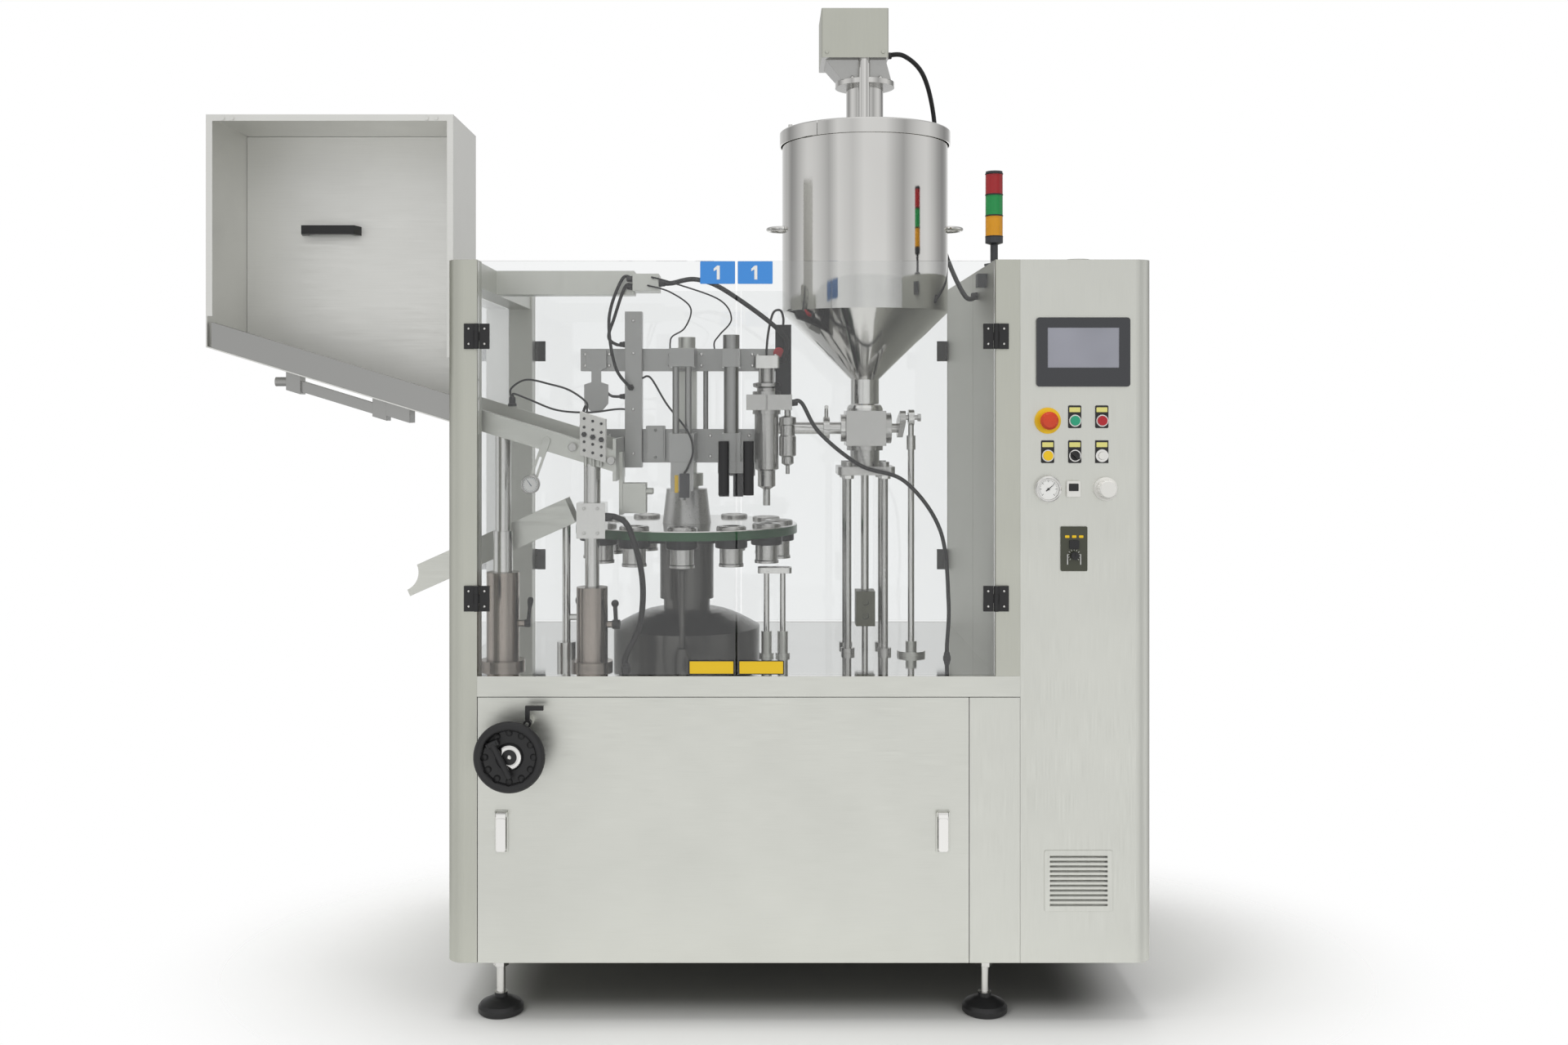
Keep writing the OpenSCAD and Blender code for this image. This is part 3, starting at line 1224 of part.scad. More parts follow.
// Hose routes: points chosen by hand, measured from a named piece; each starts and ends square to a face
hose_routes = [
    // Mixer cable from the motor cover behind the hopper to the right post
    [12, [[cover_x + cover_w / 2 + seat, pump[1], cover_z + 24],
        [cover_x + cover_w / 2 + 46, pump[1], cover_z + 24],
        [pump[0] + 154, pump[1] + 52, cover_z - 12], [pump[0] + 190, pump[1] + 130, lid_top + 76],
        [pump[0] + 200, pump[1] + 144, lid_top - 60], [pump[0] + 202, pump[1] + 140, wall_z + 260],
        [pump[0] + 220, pump[1] + 84, wall_z + 150],
        [door_post_x - 30, pump[1] - 90, top_z - 62], [door_post_x - seat, pump[1] - 90, top_z - 62]]],
    // Supply hose from the manifold to the filling head's back bar
    [12, [[manifold[0] + manifold_w + seat, 276, manifold[2]], [manifold[0] + 62, 276, manifold[2]],
        [manifold[0] + 124, 262, manifold[2] + 8], [manifold[0] + 200, 262, manifold[2] - 22],
        [fill[0] + 40, 278, upper_z + 90], [fill[0] + 42, beam_y - 80, upper_z + 30],
        [fill[0] + 42, beam_y - 52 - seat, upper_z + 30]]],
    // Two hoses from the manifold to the square tube
    [8, [[manifold[0] - manifold_w - seat, 254, manifold[2] + 8], [manifold[0] - 58, 254, manifold[2] + 8],
        [turret[0] - 184, 252, upper_z + 128], [turret[0] - 168, 240, upper_z + 10],
        [turret[0] - 134, beam_y - 104, upper_z - 42], [turret[0] - 134, beam_y - 82 - seat, upper_z - 42]]],
    [8, [[manifold[0] - manifold_w - seat, 266, manifold[2] - 10], [manifold[0] - 52, 266, manifold[2] - 10],
        [turret[0] - 174, 272, upper_z + 128], [turret[0] - 190, 300, upper_z + 84],
        [turret[0] - 172, 314, upper_z + 66], [turret[0] - 149 - seat, 314, upper_z + 66]]],
    // Hose from the worktop up to the loader column's block
    [14, [[column_2[0] + 84, 92, table_z + seat], [column_2[0] + 84, 92, table_z + 30],
        [column_2[0] + 118, 88, table_z + 110], [column_2[0] + 122, 88, table_z + 220],
        [column_2[0] + 90, 104, table_z + 330], [column_2[0] + 58, 116, table_z + 356],
        [column_2[0] + 34 + seat, 116, table_z + 356]]],
    // Hose from the filling head's clamp, round the pump, down to the worktop on the right
    [10, [[fill[0] + 62 + seat, 262, valve_mid + 64], [fill[0] + 86, 262, valve_mid + 64],
        [fill[0] + 130, 246, valve_mid - 10], [pump[0] - 20, 252, valve_mid - 90],
        [pump[0] + 90, 250, valve_mid - 130], [pump[0] + 176, 246, valve_mid - 250],
        [pump[0] + 196, 246, table_z + 140], [pump[0] + 192, 246, table_z + 30],
        [pump[0] + 192, 246, table_z + seat]]],
    // Sensor cable from the chute's rear wall to the square tube
    [7, [[chute_x - 110, chute_y[1] + seat, floor_z(chute_x - 110) + 40],
        [chute_x - 110, chute_y[1] + 24, floor_z(chute_x - 110) + 40],
        [chute_x - 100, 390, floor_z(chute_x) + 150], [chute_x - 60, 400, floor_z(chute_x) + 190],
        [turret[0] - 196, 396, upper_z - 60], [turret[0] - 178, 314, upper_z - 64],
        [turret[0] - 149 - seat, 314, upper_z - 64]]]
];
function spline(a, b, c, d, t) = 0.5 * (2 * b + (c - a) * t + (2 * a - 5 * b + 4 * c - d) * t * t
    + (3 * b - a - 3 * c + d) * t * t * t);
function path(p, n) = concat([for (i = [0:len(p) - 2]) for (k = [0:n - 1])
    spline(p[max(i - 1, 0)], p[i], p[i + 1], p[min(i + 2, len(p) - 1)], k / n)], [p[len(p) - 1]]);
function unit(v) = v / norm(v);
// Headings along the path; the two ends keep the route's own, so that they sit flat on their faces
function headings(p, route) = let (n = len(p) - 1, m = len(route) - 1)
    [for (i = [0:n]) i == 0 ? unit(route[1] - route[0]) : i == n ? unit(route[m] - route[m - 1])
        : unit(p[i + 1] - p[i - 1])];
// Side vectors carried along the path, so that the tube doesn't twist
function carry(h, i, s) = i == len(h) ? []
    : let (u = unit(s - (s * h[i]) * h[i])) concat([u], carry(h, i + 1, u));
module hose(d, route) {
    p = path(route, 5);
    n = 8;
    h = headings(p, route);
    side = carry(h, 0, unit(cross(h[0], abs(h[0][2]) < 0.8 ? [0, 0, 1] : [0, 1, 0])));
    polyhedron(
        points = [for (i = [0:len(p) - 1]) let (u = side[i], v = cross(h[i], u)) for (k = [0:n - 1])
            p[i] + d / 2 * (cos(k * 360 / n) * u + sin(k * 360 / n) * v)],
        faces = concat([[for (k = [n - 1:-1:0]) n - 1 - k]],
            [for (i = [0:len(p) - 2]) for (k = [0:n - 1])
                [i * n + k, (i + 1) * n + k, (i + 1) * n + (k + 1) % n, i * n + (k + 1) % n]],
            [[for (k = [n - 1:-1:0]) (len(p) - 1) * n + k]]));
}
module hoses() color("black") { for (r = hose_routes) hose(r[0], r[1]); }

module placed() { translate([-mid[0], -mid[1], 0]) children(); }
placed() base_frame();
placed() base_panels();
placed() front_panel();
placed() worktop();
placed() door_posts();
placed() electrical_cabinet();
placed() guard_frame();
placed() side_guard();
placed() hinge_leaves();
placed() left_door();
placed() left_door_fittings();
placed() right_door();
placed() right_door_fittings();
placed() rear_left_door();
placed() rear_right_door();
placed() levelling_feet();
placed() cassette_box();
placed() cassette_rail();
placed() cassette_backplate();
placed() infeed_chute();
placed() loader_columns();
placed() clamp_lever();
placed() discharge_chute();
placed() turret_column();
placed() turntable();
placed() turret_hub();
placed() tube_cups();
placed() mast();
placed() tool_beams();
placed() fill_head();
placed() fill_pipe();
placed() valve_block();
placed() pump_frame();
placed() fill_piston();
placed() valve_lever();
placed() valve_rod();
placed() lifter();
placed() hopper();
placed() hopper_lid();
placed() lid_flap();
placed() mixer_drive();
placed() agitator();
placed() signal_tower();
placed() operator_panel();
placed() control_trim();
placed() emergency_stop();
placed() start_button();
placed() stop_button();
placed() jog_button();
placed() selector();
placed() regulator_knob();
placed() speed_knob();
placed() left_latch();
placed() right_latch();
placed() handwheel();
placed() wheel_grip();
placed() clutch_lever();
placed() drive_units();
placed() control_gear();
placed() hoses();
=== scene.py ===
# %% [markdown]
# # A tube filling machine, dressed for the studio
# The CAD model gives every rigid piece its true shape and place. This lesson loads that model as a
# fixed frame, stands a camera where the photograph was taken, and then gives each surface the look
# of the real metal, acrylic or plastic. Small things that are not worth a solid, such as screw heads,
# dial marks and bare label plates, are built here as meshes and curves.

# %% Load the frame
import bmesh
import bpy
import math
from mathutils import Matrix, Vector


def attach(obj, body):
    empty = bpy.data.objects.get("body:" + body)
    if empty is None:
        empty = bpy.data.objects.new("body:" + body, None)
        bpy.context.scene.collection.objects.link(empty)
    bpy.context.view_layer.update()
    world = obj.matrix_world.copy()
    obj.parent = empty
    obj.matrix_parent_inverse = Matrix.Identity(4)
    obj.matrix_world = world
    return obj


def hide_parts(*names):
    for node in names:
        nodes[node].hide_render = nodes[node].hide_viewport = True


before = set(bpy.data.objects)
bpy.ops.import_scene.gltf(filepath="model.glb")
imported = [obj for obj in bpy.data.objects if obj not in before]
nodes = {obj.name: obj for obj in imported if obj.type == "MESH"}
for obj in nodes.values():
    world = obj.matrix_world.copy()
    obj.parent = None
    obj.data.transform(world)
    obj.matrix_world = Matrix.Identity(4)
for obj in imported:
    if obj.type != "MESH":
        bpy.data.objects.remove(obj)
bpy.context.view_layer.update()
scene = bpy.context.scene
scene.view_settings.view_transform = "Standard"

# %% [markdown]
# ## Two ways to say where something is
# The CAD file is drawn in millimetres from a corner of the cabinet, and packed centred over the floor
# in metres. One function turns the first into the second, so the numbers below can be compared with
# the CAD file line by line.

# %% Millimetres of the machine to metres of the frame
MACHINE_MID = (-290.0, 420.0)


def place(x, y, z):
    return Vector(((x - MACHINE_MID[0]) / 1000, (y - MACHINE_MID[1]) / 1000, z / 1000))


print("machine's corner at", [round(v, 3) for v in place(0, 0, 0)])

# %% [markdown]
# ## Camera
# The photograph looks straight at the front of the machine, from chest height, with upright lines
# upright. A level camera does that, and a small shift moves the picture without tilting it.

# %% Camera at the photograph's viewing point
camera_data = bpy.data.cameras.new("front_camera")
camera_data.lens = 33.75
camera_data.sensor_width = 36.0
camera_data.shift_x = 0.0156
camera_data.shift_y = -0.0727
camera_data.clip_end = 200.0
camera = bpy.data.objects.new("front_camera", camera_data)
camera.location = place(-92, -3366, 1402)
camera.rotation_euler = (math.radians(90), 0, 0)
scene.collection.objects.link(camera)
scene.camera = camera
print("camera at", [round(v, 3) for v in camera.location])

# %% [markdown]
# ## Colours and nodes
# Colours are given as sRGB hex values, while shaders work in linear light, so one function
# converts them. Another adds a node: its settings go to a socket of that name, or to a property. The
# rest are groups of nodes that several finishes share.

# %% Colour and node helpers
def linear(hex_code):
    channels = [int(hex_code[i:i + 2], 16) / 255 for i in (1, 3, 5)]
    return tuple(c / 12.92 if c <= 0.04045 else ((c + 0.055) / 1.055) ** 2.4 for c in channels) + (1.0,)


def add(tree, kind, settings=None, links=None):
    node = tree.nodes.new(kind)
    for name, value in (settings or {}).items():
        if name in node.inputs:
            node.inputs[name].default_value = value
        else:
            setattr(node, name, value)
    for name, source in (links or {}).items():
        tree.links.new(source, node.inputs[name])
    return node


def start_material(name, hex_code, **sockets):
    material = bpy.data.materials.new(name)
    material.use_nodes = True
    tree = material.node_tree
    shader = tree.nodes["Principled BSDF"]
    shader.inputs["Base Color"].default_value = linear(hex_code)
    for socket, value in sockets.items():
        shader.inputs[socket.replace("_", " ")].default_value = value
    material.diffuse_color = linear(hex_code)
    return material, tree, shader


def noise(tree, size_mm, **settings):
    where = add(tree, "ShaderNodeTexCoord")
    return add(tree, "ShaderNodeTexNoise", {"Scale": 1000 / size_mm, **settings},
               {"Vector": where.outputs["Object"]}).outputs["Fac"]


def grain_surface(tree, shader, grain, gloss, bump, edge_m):
    """Lets a grain drive the shader's roughness and a low bump, and rounds edges by edge_m."""
    rough = add(tree, "ShaderNodeMapRange", gloss, {"Value": grain})
    edge = add(tree, "ShaderNodeBevel", {"samples": 4, "Radius": edge_m})
    bumps = add(tree, "ShaderNodeBump", bump, {"Height": grain, "Normal": edge.outputs["Normal"]})
    tree.links.new(rough.outputs["Result"], shader.inputs["Roughness"])
    tree.links.new(bumps.outputs["Normal"], shader.inputs["Normal"])


def maths(tree, operation, first, second=0.0):
    node = add(tree, "ShaderNodeMath", {"operation": operation}, {"Value": first})
    node.inputs[1].default_value = second
    return node


def mix_shaders(tree, share, first, second):
    mix = add(tree, "ShaderNodeMixShader", None, {"Fac": share})
    tree.links.new(first, mix.inputs[1])
    tree.links.new(second, mix.inputs[2])
    return mix.outputs["Shader"]


print("mid grey in linear light:", round(linear("#808080")[0], 3))

# %% [markdown]
# ## Stainless sheet
# The cabinet is folded from stainless sheet with a fine brushed finish: it mirrors the room only as
# soft gradients, and its grain is a set of short scratches that run along the sheet. A stretched
# noise pattern gives the scratches, and drives roughness and a very low bump. Real grain is about
# 0.1 mm wide. It is drawn 1.5 mm wide here, or it would not show in the picture.

# %% Brushed stainless, with its grain along one axis
GRAIN_MM = 1.5
GRAIN_LENGTH_MM = 90.0
CLOUD_MM, CLOUD_SHADE = 220.0, 0.90
EDGE_RADIUS_M = 0.0012


def brushed_stainless(name, hex_code, along, roughness, wear=0.10):
    material, tree, shader = start_material(name, hex_code, Metallic=1.0)
    fine, long = 1000 / GRAIN_MM, 1000 / GRAIN_LENGTH_MM
    scale = tuple(long if axis == along else fine for axis in "XYZ")
    where = add(tree, "ShaderNodeTexCoord")
    mapped = add(tree, "ShaderNodeMapping", {"Scale": scale}, {"Vector": where.outputs["Object"]})
    grain = add(tree, "ShaderNodeTexNoise", {"Scale": 1.0, "Detail": 3.0, "Roughness": 0.6},
                {"Vector": mapped.outputs["Vector"]})
    grain_surface(tree, shader, grain.outputs["Fac"],
                  {"From Min": 0.3, "From Max": 0.7, "To Min": roughness - wear, "To Max": roughness + wear},
                  {"Strength": 0.05, "Distance": 0.0004}, EDGE_RADIUS_M)
    # Handling leaves broad, faint clouds a hand wide, a shade darker than clean sheet
    dark = tuple(c * CLOUD_SHADE for c in linear(hex_code)[:3]) + (1.0,)
    tint = add(tree, "ShaderNodeMixRGB", {"Color1": linear(hex_code), "Color2": dark},
               {"Fac": noise(tree, CLOUD_MM, Detail=2.0)})
    tree.links.new(tint.outputs["Color"], shader.inputs["Base Color"])
    return material


sheet_level = brushed_stainless("brushed_stainless_level_grain", "#dadbd4", "X", 0.40)
sheet_upright = brushed_stainless("brushed_stainless_upright_grain", "#dadbd4", "Z", 0.40)
post_metal = brushed_stainless("bead_blasted_stainless", "#cacbc1", "Z", 0.46, 0.05)
polished = brushed_stainless("polished_stainless", "#e6e5e2", "X", 0.07, 0.03)
worktop_metal = brushed_stainless("ground_stainless_worktop", "#f2f2f0", "X", 0.05, 0.02)
tray_metal = brushed_stainless("brushed_stainless_tray", "#ecece8", "X", 0.46)
polished_rod = brushed_stainless("ground_steel_rod", "#d9d8d5", "Z", 0.14, 0.04)
print("stainless finishes:", [m.name for m in bpy.data.materials if "stainless" in m.name])

# %% [markdown]
# ## Machined and cast metals
# Beams, brackets and clamps are milled aluminium or steel. A cutter leaves faint swirls a few
# millimetres wide, so the gloss changes from spot to spot while the colour stays even.

# %% Machined metals
TOOL_MARK_MM = 3.0
GLOSS_SPREAD = 0.09


def machined_metal(name, hex_code, roughness):
    material, tree, shader = start_material(name, hex_code, Metallic=1.0)
    grain_surface(tree, shader, noise(tree, TOOL_MARK_MM, Detail=4.0, Distortion=0.6),
                  {"To Min": roughness - GLOSS_SPREAD, "To Max": roughness + GLOSS_SPREAD},
                  {"Strength": 0.04, "Distance": 0.0003}, EDGE_RADIUS_M)
    return material


aluminium = machined_metal("milled_aluminium", "#a8a8a6", 0.33)
steel = machined_metal("turned_steel", "#c2c1be", 0.24)
dark_steel = machined_metal("ground_tool_steel", "#c4c3c1", 0.30)
# The turret column's dark grey is painted shade: it stands for the dark surroundings that the column mirrors,
# and is darker than the steel itself
painted_dark_column_steel = machined_metal("turned_steel_column_painted_dark", "#595855", 0.22)
phosphated = machined_metal("phosphated_steel", "#5d5e50", 0.38)
black_oxide = machined_metal("black_oxide_steel", "#2b2b2c", 0.36)
sleeve_bronze = machined_metal("oiled_steel_sleeve", "#a39a92", 0.22)
print("machined metals:", aluminium.name, steel.name, dark_steel.name)

# %% [markdown]
# ## Plastics, paint and rubber
# Moulded plastic takes a fine spark texture from its mould, so its highlight is broken up. Rubber is
# the same idea, duller. One recipe makes them all, and only colour, gloss and grain size change.

# %% Moulded plastics
PLASTIC_EDGE_M = 0.001
SPARK_SPREAD = 0.07


def moulded(name, hex_code, roughness, grain_mm, depth=0.12, **sockets):
    material, tree, shader = start_material(name, hex_code, Roughness=roughness, IOR=1.5, **sockets)
    grain_surface(tree, shader, noise(tree, grain_mm, Detail=2.0),
                  {"To Min": roughness - SPARK_SPREAD, "To Max": roughness + SPARK_SPREAD},
                  {"Strength": depth, "Distance": 0.0003}, PLASTIC_EDGE_M)
    return material


black_plastic = moulded("moulded_black_nylon", "#1d1d1e", 0.42, 1.2)
panel_plastic = moulded("moulded_graphite_abs", "#3a3b3e", 0.38, 1.0)
white_plastic = moulded("moulded_white_acetal", "#e8e7e2", 0.35, 1.2)
grey_plastic = moulded("moulded_grey_abs", "#8d8f90", 0.40, 1.0)
fleece = moulded("needled_filter_fleece", "#ebebe8", 0.85, 3.0, 0.5)
rubber = moulded("nitrile_rubber", "#161617", 0.55, 0.9)
stop_red = moulded("moulded_signal_red", "#d0421f", 0.30, 1.0)
button_red = moulded("moulded_button_red", "#b01c28", 0.28, 1.0)
button_green = moulded("moulded_button_green", "#259f79", 0.28, 1.0)
plate_yellow = moulded("printed_yellow_film", "#f2c81e", 0.34, 1.6, 0.05)
plate_blue = moulded("printed_blue_film", "#438fdd", 0.30, 1.6, 0.05)
label_film = moulded("printed_pale_yellow_film", "#e4de86", 0.34, 1.6, 0.05)
film_white = moulded("printed_white_film", "#f1f1ee", 0.34, 1.6, 0.05)
speed_olive = moulded("enamelled_dark_olive", "#414336", 0.33, 1.4, 0.06)
turntable_green = moulded("anodised_green_edge", "#295936", 0.30, 2.0, 0.05, Metallic=0.35)
drive_paint = moulded("sprayed_blue_grey_enamel", "#56697a", 0.40, 2.5)
frame_paint = moulded("sprayed_grey_enamel", "#9b9c98", 0.42, 2.5)
print("moulded and painted finishes:", len(bpy.data.materials))

# %% [markdown]
# ## Clear and tinted plastics
# The guard doors are cast acrylic: clear, with an index of 1.49, and so flat that only their edges
# and reflections show. The tower's lenses are tinted polycarbonate that lets some light in.

# %% Acrylic panes and tinted lenses
WAVE_MM, PANE_SHADE = 180.0, 0.92
acrylic, acrylic_tree, acrylic_shader = start_material(
    "cast_clear_acrylic", "#f5f6f6", Transmission_Weight=1.0, IOR=1.49, Roughness=0.0)
# Cast sheet is a little wavy, one gentle wave in about a hand's length
pane_bump = add(acrylic_tree, "ShaderNodeBump", {"Strength": 0.02, "Distance": 0.002},
                {"Height": noise(acrylic_tree, WAVE_MM, Detail=1.0)})
acrylic_tree.links.new(pane_bump.outputs["Normal"], acrylic_shader.inputs["Normal"])
# A clear pane casts hardly any shadow, so the lamps' light goes straight through it
pane_rays = add(acrylic_tree, "ShaderNodeLightPath")
pane_clear = add(acrylic_tree, "ShaderNodeBsdfTransparent",
                 {"Color": (PANE_SHADE, PANE_SHADE, PANE_SHADE, 1.0)})
pane_mix = mix_shaders(acrylic_tree, pane_rays.outputs["Is Shadow Ray"], acrylic_shader.outputs["BSDF"],
                       pane_clear.outputs["BSDF"])
acrylic_tree.links.new(pane_mix, acrylic_tree.nodes["Material Output"].inputs["Surface"])

lens_red, lens_green, lens_amber = (
    moulded(f"tinted_polycarbonate_{tint}", shade, 0.16, 6.0, 0.10, Transmission_Weight=0.35)
    for tint, shade in (("red", "#b0242a"), ("green", "#1e9c50"), ("amber", "#f0a818")))
print("clear pane index:", acrylic_shader.inputs["IOR"].default_value)

# %% [markdown]
# ## Screen glass
# The operator panel's screen is dark glass over a grey display. The display is off, so the glass
# shows a soft gradient from the room and nothing else: its coat mirrors the room, and a painted
# reflection, broad clouds of lighter and darker grey in the display's colour, adds to that gradient.

# %% Screen
SCREEN_REFLECTION_MM = 120.0
screen_glass, screen_tree, screen_shader = start_material(
    "coated_screen_glass", "#92939c", Roughness=0.12, IOR=1.52, Coat_Weight=0.6)
# Painted reflection: broad clouds in the display's grey stand in for the room's soft gradient on the glass
screen_painted_reflection = add(screen_tree, "ShaderNodeMixRGB",
                  {"Color1": linear("#80828b"), "Color2": linear("#a2a3ae")},
                  {"Fac": noise(screen_tree, SCREEN_REFLECTION_MM, Detail=1.0)})
screen_tree.links.new(screen_painted_reflection.outputs["Color"], screen_shader.inputs["Base Color"])
print("screen finish:", screen_glass.name)

# %% [markdown]
# ## Hoses
# Air hoses and cables inside the guard are held at both ends, and bend by their own stiffness in
# between. The CAD model draws them as tubes with eight sides. Here each one is a smooth curve with a
# round bevel through the same points, so the black rubber gets one clean highlight along its length.
# The points are the CAD file's own, as steps from the pieces they pass: leave square, bend, arrive square.

# %% Hose routes
SEAT = 0.3
LEFT_X, TABLE_Z, TOP_Z, LID_TOP, COVER_Z, WALL_Z = -810.0, 789.0, 1743.0, 2103.0, 2276.0, 1645.0
UPPER_Z, VALVE_MID, BEAM_Y, DOOR_POST_X, COVER_W = 1496.0, 1352.0, 375.0, 449.0, 167.0
turret, pump, fill = (-278.0, 400.0), (176.0, 380.0), (-74.5, 282.5)
COVER_RIGHT = pump[0] - 30 + COVER_W / 2
manifold, MANIFOLD_HALF = (-372.0, 246.0, 1712.0), 32.0
column_1, column_2 = (-705.0, 150.0), (-490.0, 132.0)
CHUTE_X, CHUTE_REAR, TRAY_Z, TRAY_SLOPE = -437.0, 325.0, 1371.0, math.radians(17)


def chute_floor(x):
    return TRAY_Z - (x - LEFT_X) * math.tan(TRAY_SLOPE)


def moved(anchor, *steps):
    return [tuple(a + s for a, s in zip(anchor, step)) for step in steps]


sensor_x = CHUTE_X - 110
hose_routes = {
    "mixer_cable": (12, [
        *moved((COVER_RIGHT, pump[1], COVER_Z), (SEAT, 0, 24), (46, 0, 24)),
        *moved((*pump, COVER_Z), (154, 52, -12)),
        *moved((*pump, LID_TOP), (190, 130, 76), (200, 144, -60)),
        *moved((*pump, WALL_Z), (202, 140, 260), (220, 84, 150)),
        *moved((DOOR_POST_X, pump[1], TOP_Z), (-30, -90, -62), (-SEAT, -90, -62))]),
    "supply_hose": (12, [
        *moved(manifold, (MANIFOLD_HALF + SEAT, 30, 0), (62, 30, 0), (124, 16, 8), (200, 16, -22)),
        *moved((fill[0], BEAM_Y, UPPER_Z), (40, -97, 90), (42, -80, 30), (42, -52 - SEAT, 30))]),
    "mast_hose_front": (8, [
        *moved(manifold, (-MANIFOLD_HALF - SEAT, 8, 8), (-58, 8, 8)),
        *moved((turret[0], 0, UPPER_Z), (-184, 252, 128), (-168, 240, 10)),
        *moved((turret[0], BEAM_Y, UPPER_Z), (-134, -104, -42), (-134, -82 - SEAT, -42))]),
    "mast_hose_rear": (8, [
        *moved(manifold, (-MANIFOLD_HALF - SEAT, 20, -10), (-52, 20, -10)),
        *moved((turret[0], 0, UPPER_Z), (-174, 272, 128), (-190, 300, 84), (-172, 314, 66),
               (-149 - SEAT, 314, 66))]),
    "loader_hose": (14, moved(
        (column_2[0], 0, TABLE_Z), (84, 92, SEAT), (84, 92, 30), (118, 88, 110), (122, 88, 220),
        (90, 104, 330), (58, 116, 356), (34 + SEAT, 116, 356))),
    "pump_hose": (10, [
        *moved((fill[0], 0, VALVE_MID), (62 + SEAT, 262, 64), (86, 262, 64), (130, 246, -10)),
        *moved((pump[0], 0, VALVE_MID), (-20, 252, -90), (90, 250, -130), (176, 246, -250)),
        *moved((pump[0], 0, TABLE_Z), (196, 246, 140), (192, 246, 30), (192, 246, SEAT))]),
    "chute_sensor_cable": (7, [
        *moved((sensor_x, CHUTE_REAR, chute_floor(sensor_x)), (0, SEAT, 40), (0, 24, 40)),
        *moved((CHUTE_X, 0, chute_floor(CHUTE_X)), (-100, 390, 150), (-60, 400, 190)),
        *moved((turret[0], 0, UPPER_Z), (-196, 396, -60), (-178, 314, -64), (-149 - SEAT, 314, -64))]),
}
print("hose routes:", {name: f"{d} mm" for name, (d, _) in hose_routes.items()})

# %% [markdown]
# A Catmull-Rom spline passes through every point it is given, which is what a route chosen point by
# point needs. Ten short steps between two points look smooth at this size.

# %% Smooth tubes along the routes
STEPS = 10


def smooth_path(points, steps=STEPS):
    p = [place(*q) for q in points]
    path = []
    for i in range(len(p) - 1):
        a, b, c, d = p[max(i - 1, 0)], p[i], p[i + 1], p[min(i + 2, len(p) - 1)]
        for k in range(steps):
            t = k / steps
            path.append(0.5 * (2 * b + (c - a) * t + (2 * a - 5 * b + 4 * c - d) * t * t
                               + (3 * b - a - 3 * c + d) * t ** 3))
    return path + [p[-1]]


def tube(name, path, diameter_mm, material, body="machine"):
    data = bpy.data.curves.new(name, "CURVE")
    data.dimensions = "3D"
    data.bevel_depth = diameter_mm / 2000
    data.bevel_resolution = 5
    data.use_fill_caps = True
    line = data.splines.new("POLY")
    line.points.add(len(path) - 1)
    for point, q in zip(line.points, path):
        point.co = (*q, 1.0)
    line.use_smooth = True
    data.materials.append(material)
    piece = bpy.data.objects.new(name, data)
    scene.collection.objects.link(piece)
    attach(piece, body)
    return piece


def cord(name, points, diameter_mm):
    path = smooth_path(points)
    print(f"{name}: {sum((b - a).length for a, b in zip(path, path[1:])):.3f} m long")
    return tube(name, path, diameter_mm, rubber)


for name, (diameter, points) in hose_routes.items():
    piece = cord(name, points, diameter)
    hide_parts("hoses")

# %% [markdown]
# ## Dress the CAD nodes
# A CAD node keeps its mesh. Only what lies in its material slots changes, so the shapes stay exactly
# those that were packed.

# %% One finish for each node
finishes = {
    tray_metal: ["cassette_box", "cassette_backplate"],
    sheet_level: ["front_panel", "infeed_chute", "discharge_chute"],
    sheet_upright: ["base_panels", "electrical_cabinet", "mast", "guard_frame"],
    post_metal: ["door_posts"],
    worktop_metal: ["worktop"],
    polished: ["hopper", "hopper_lid", "lid_flap", "mixer_drive", "left_latch", "right_latch"],
    polished_rod: ["lifter", "fill_pipe", "fill_piston", "valve_rod", "agitator", "loader_columns"],
    painted_dark_column_steel: ["turret_column"],
    steel: ["tube_cups", "pump_frame", "valve_block", "valve_lever", "fill_head"],
    aluminium: ["cassette_rail", "tool_beams"],
    dark_steel: ["turret_hub"],
    turntable_green: ["turntable"],
    acrylic: ["side_guard", "left_door", "right_door", "rear_left_door", "rear_right_door"],
    black_plastic: ["hinge_leaves", "left_door_fittings", "right_door_fittings", "clamp_lever", "handwheel",
                    "wheel_grip", "clutch_lever", "selector", "speed_knob", "control_trim", "levelling_feet"],
    panel_plastic: ["operator_panel", "signal_tower"],
    white_plastic: ["regulator_knob"],
    stop_red: ["emergency_stop"],
    button_red: ["stop_button"],
    button_green: ["start_button"],
    plate_yellow: ["jog_button"],
    drive_paint: ["drive_units"],
    grey_plastic: ["control_gear"],
    frame_paint: ["base_frame"],
    rubber: ["hoses"],
}
for material, names in finishes.items():
    for name in names:
        nodes[name].data.materials.clear()
        nodes[name].data.materials.append(material)
undressed = set(nodes) - {n for names in finishes.values() for n in names}
print("nodes without a finish:", sorted(undressed))

# %% [markdown]
# Some nodes hold several materials, such as a steel stud in a rubber pad. The faces whose middle lies
# in a given space get a second slot, which is how paint is masked in a workshop.

# %% Second finishes by place
def repaint(node, material, inside):
    mesh = nodes[node].data
    mesh.materials.append(material)
    index = len(mesh.materials) - 1
    count = 0
    for face in mesh.polygons:
        if inside(face.center, face.normal):
            face.material_index = index
            count += 1
    print(f"{node}: {count} faces of {material.name}")


FAR = 9000.0


def in_box(x=(-FAR, FAR), y=(-FAR, FAR), z=(-FAR, FAR)):
    """Picks the faces whose middle lies in a box, given in machine millimetres."""
    low, high = (place(*corner) for corner in zip(x, y, z))
    return lambda c, n: all(a < v < b for a, v, b in zip(low, c, high))


# Steel studs stand on the rubber pads
repaint("levelling_feet", polished_rod, in_box(z=(45.5, FAR)))

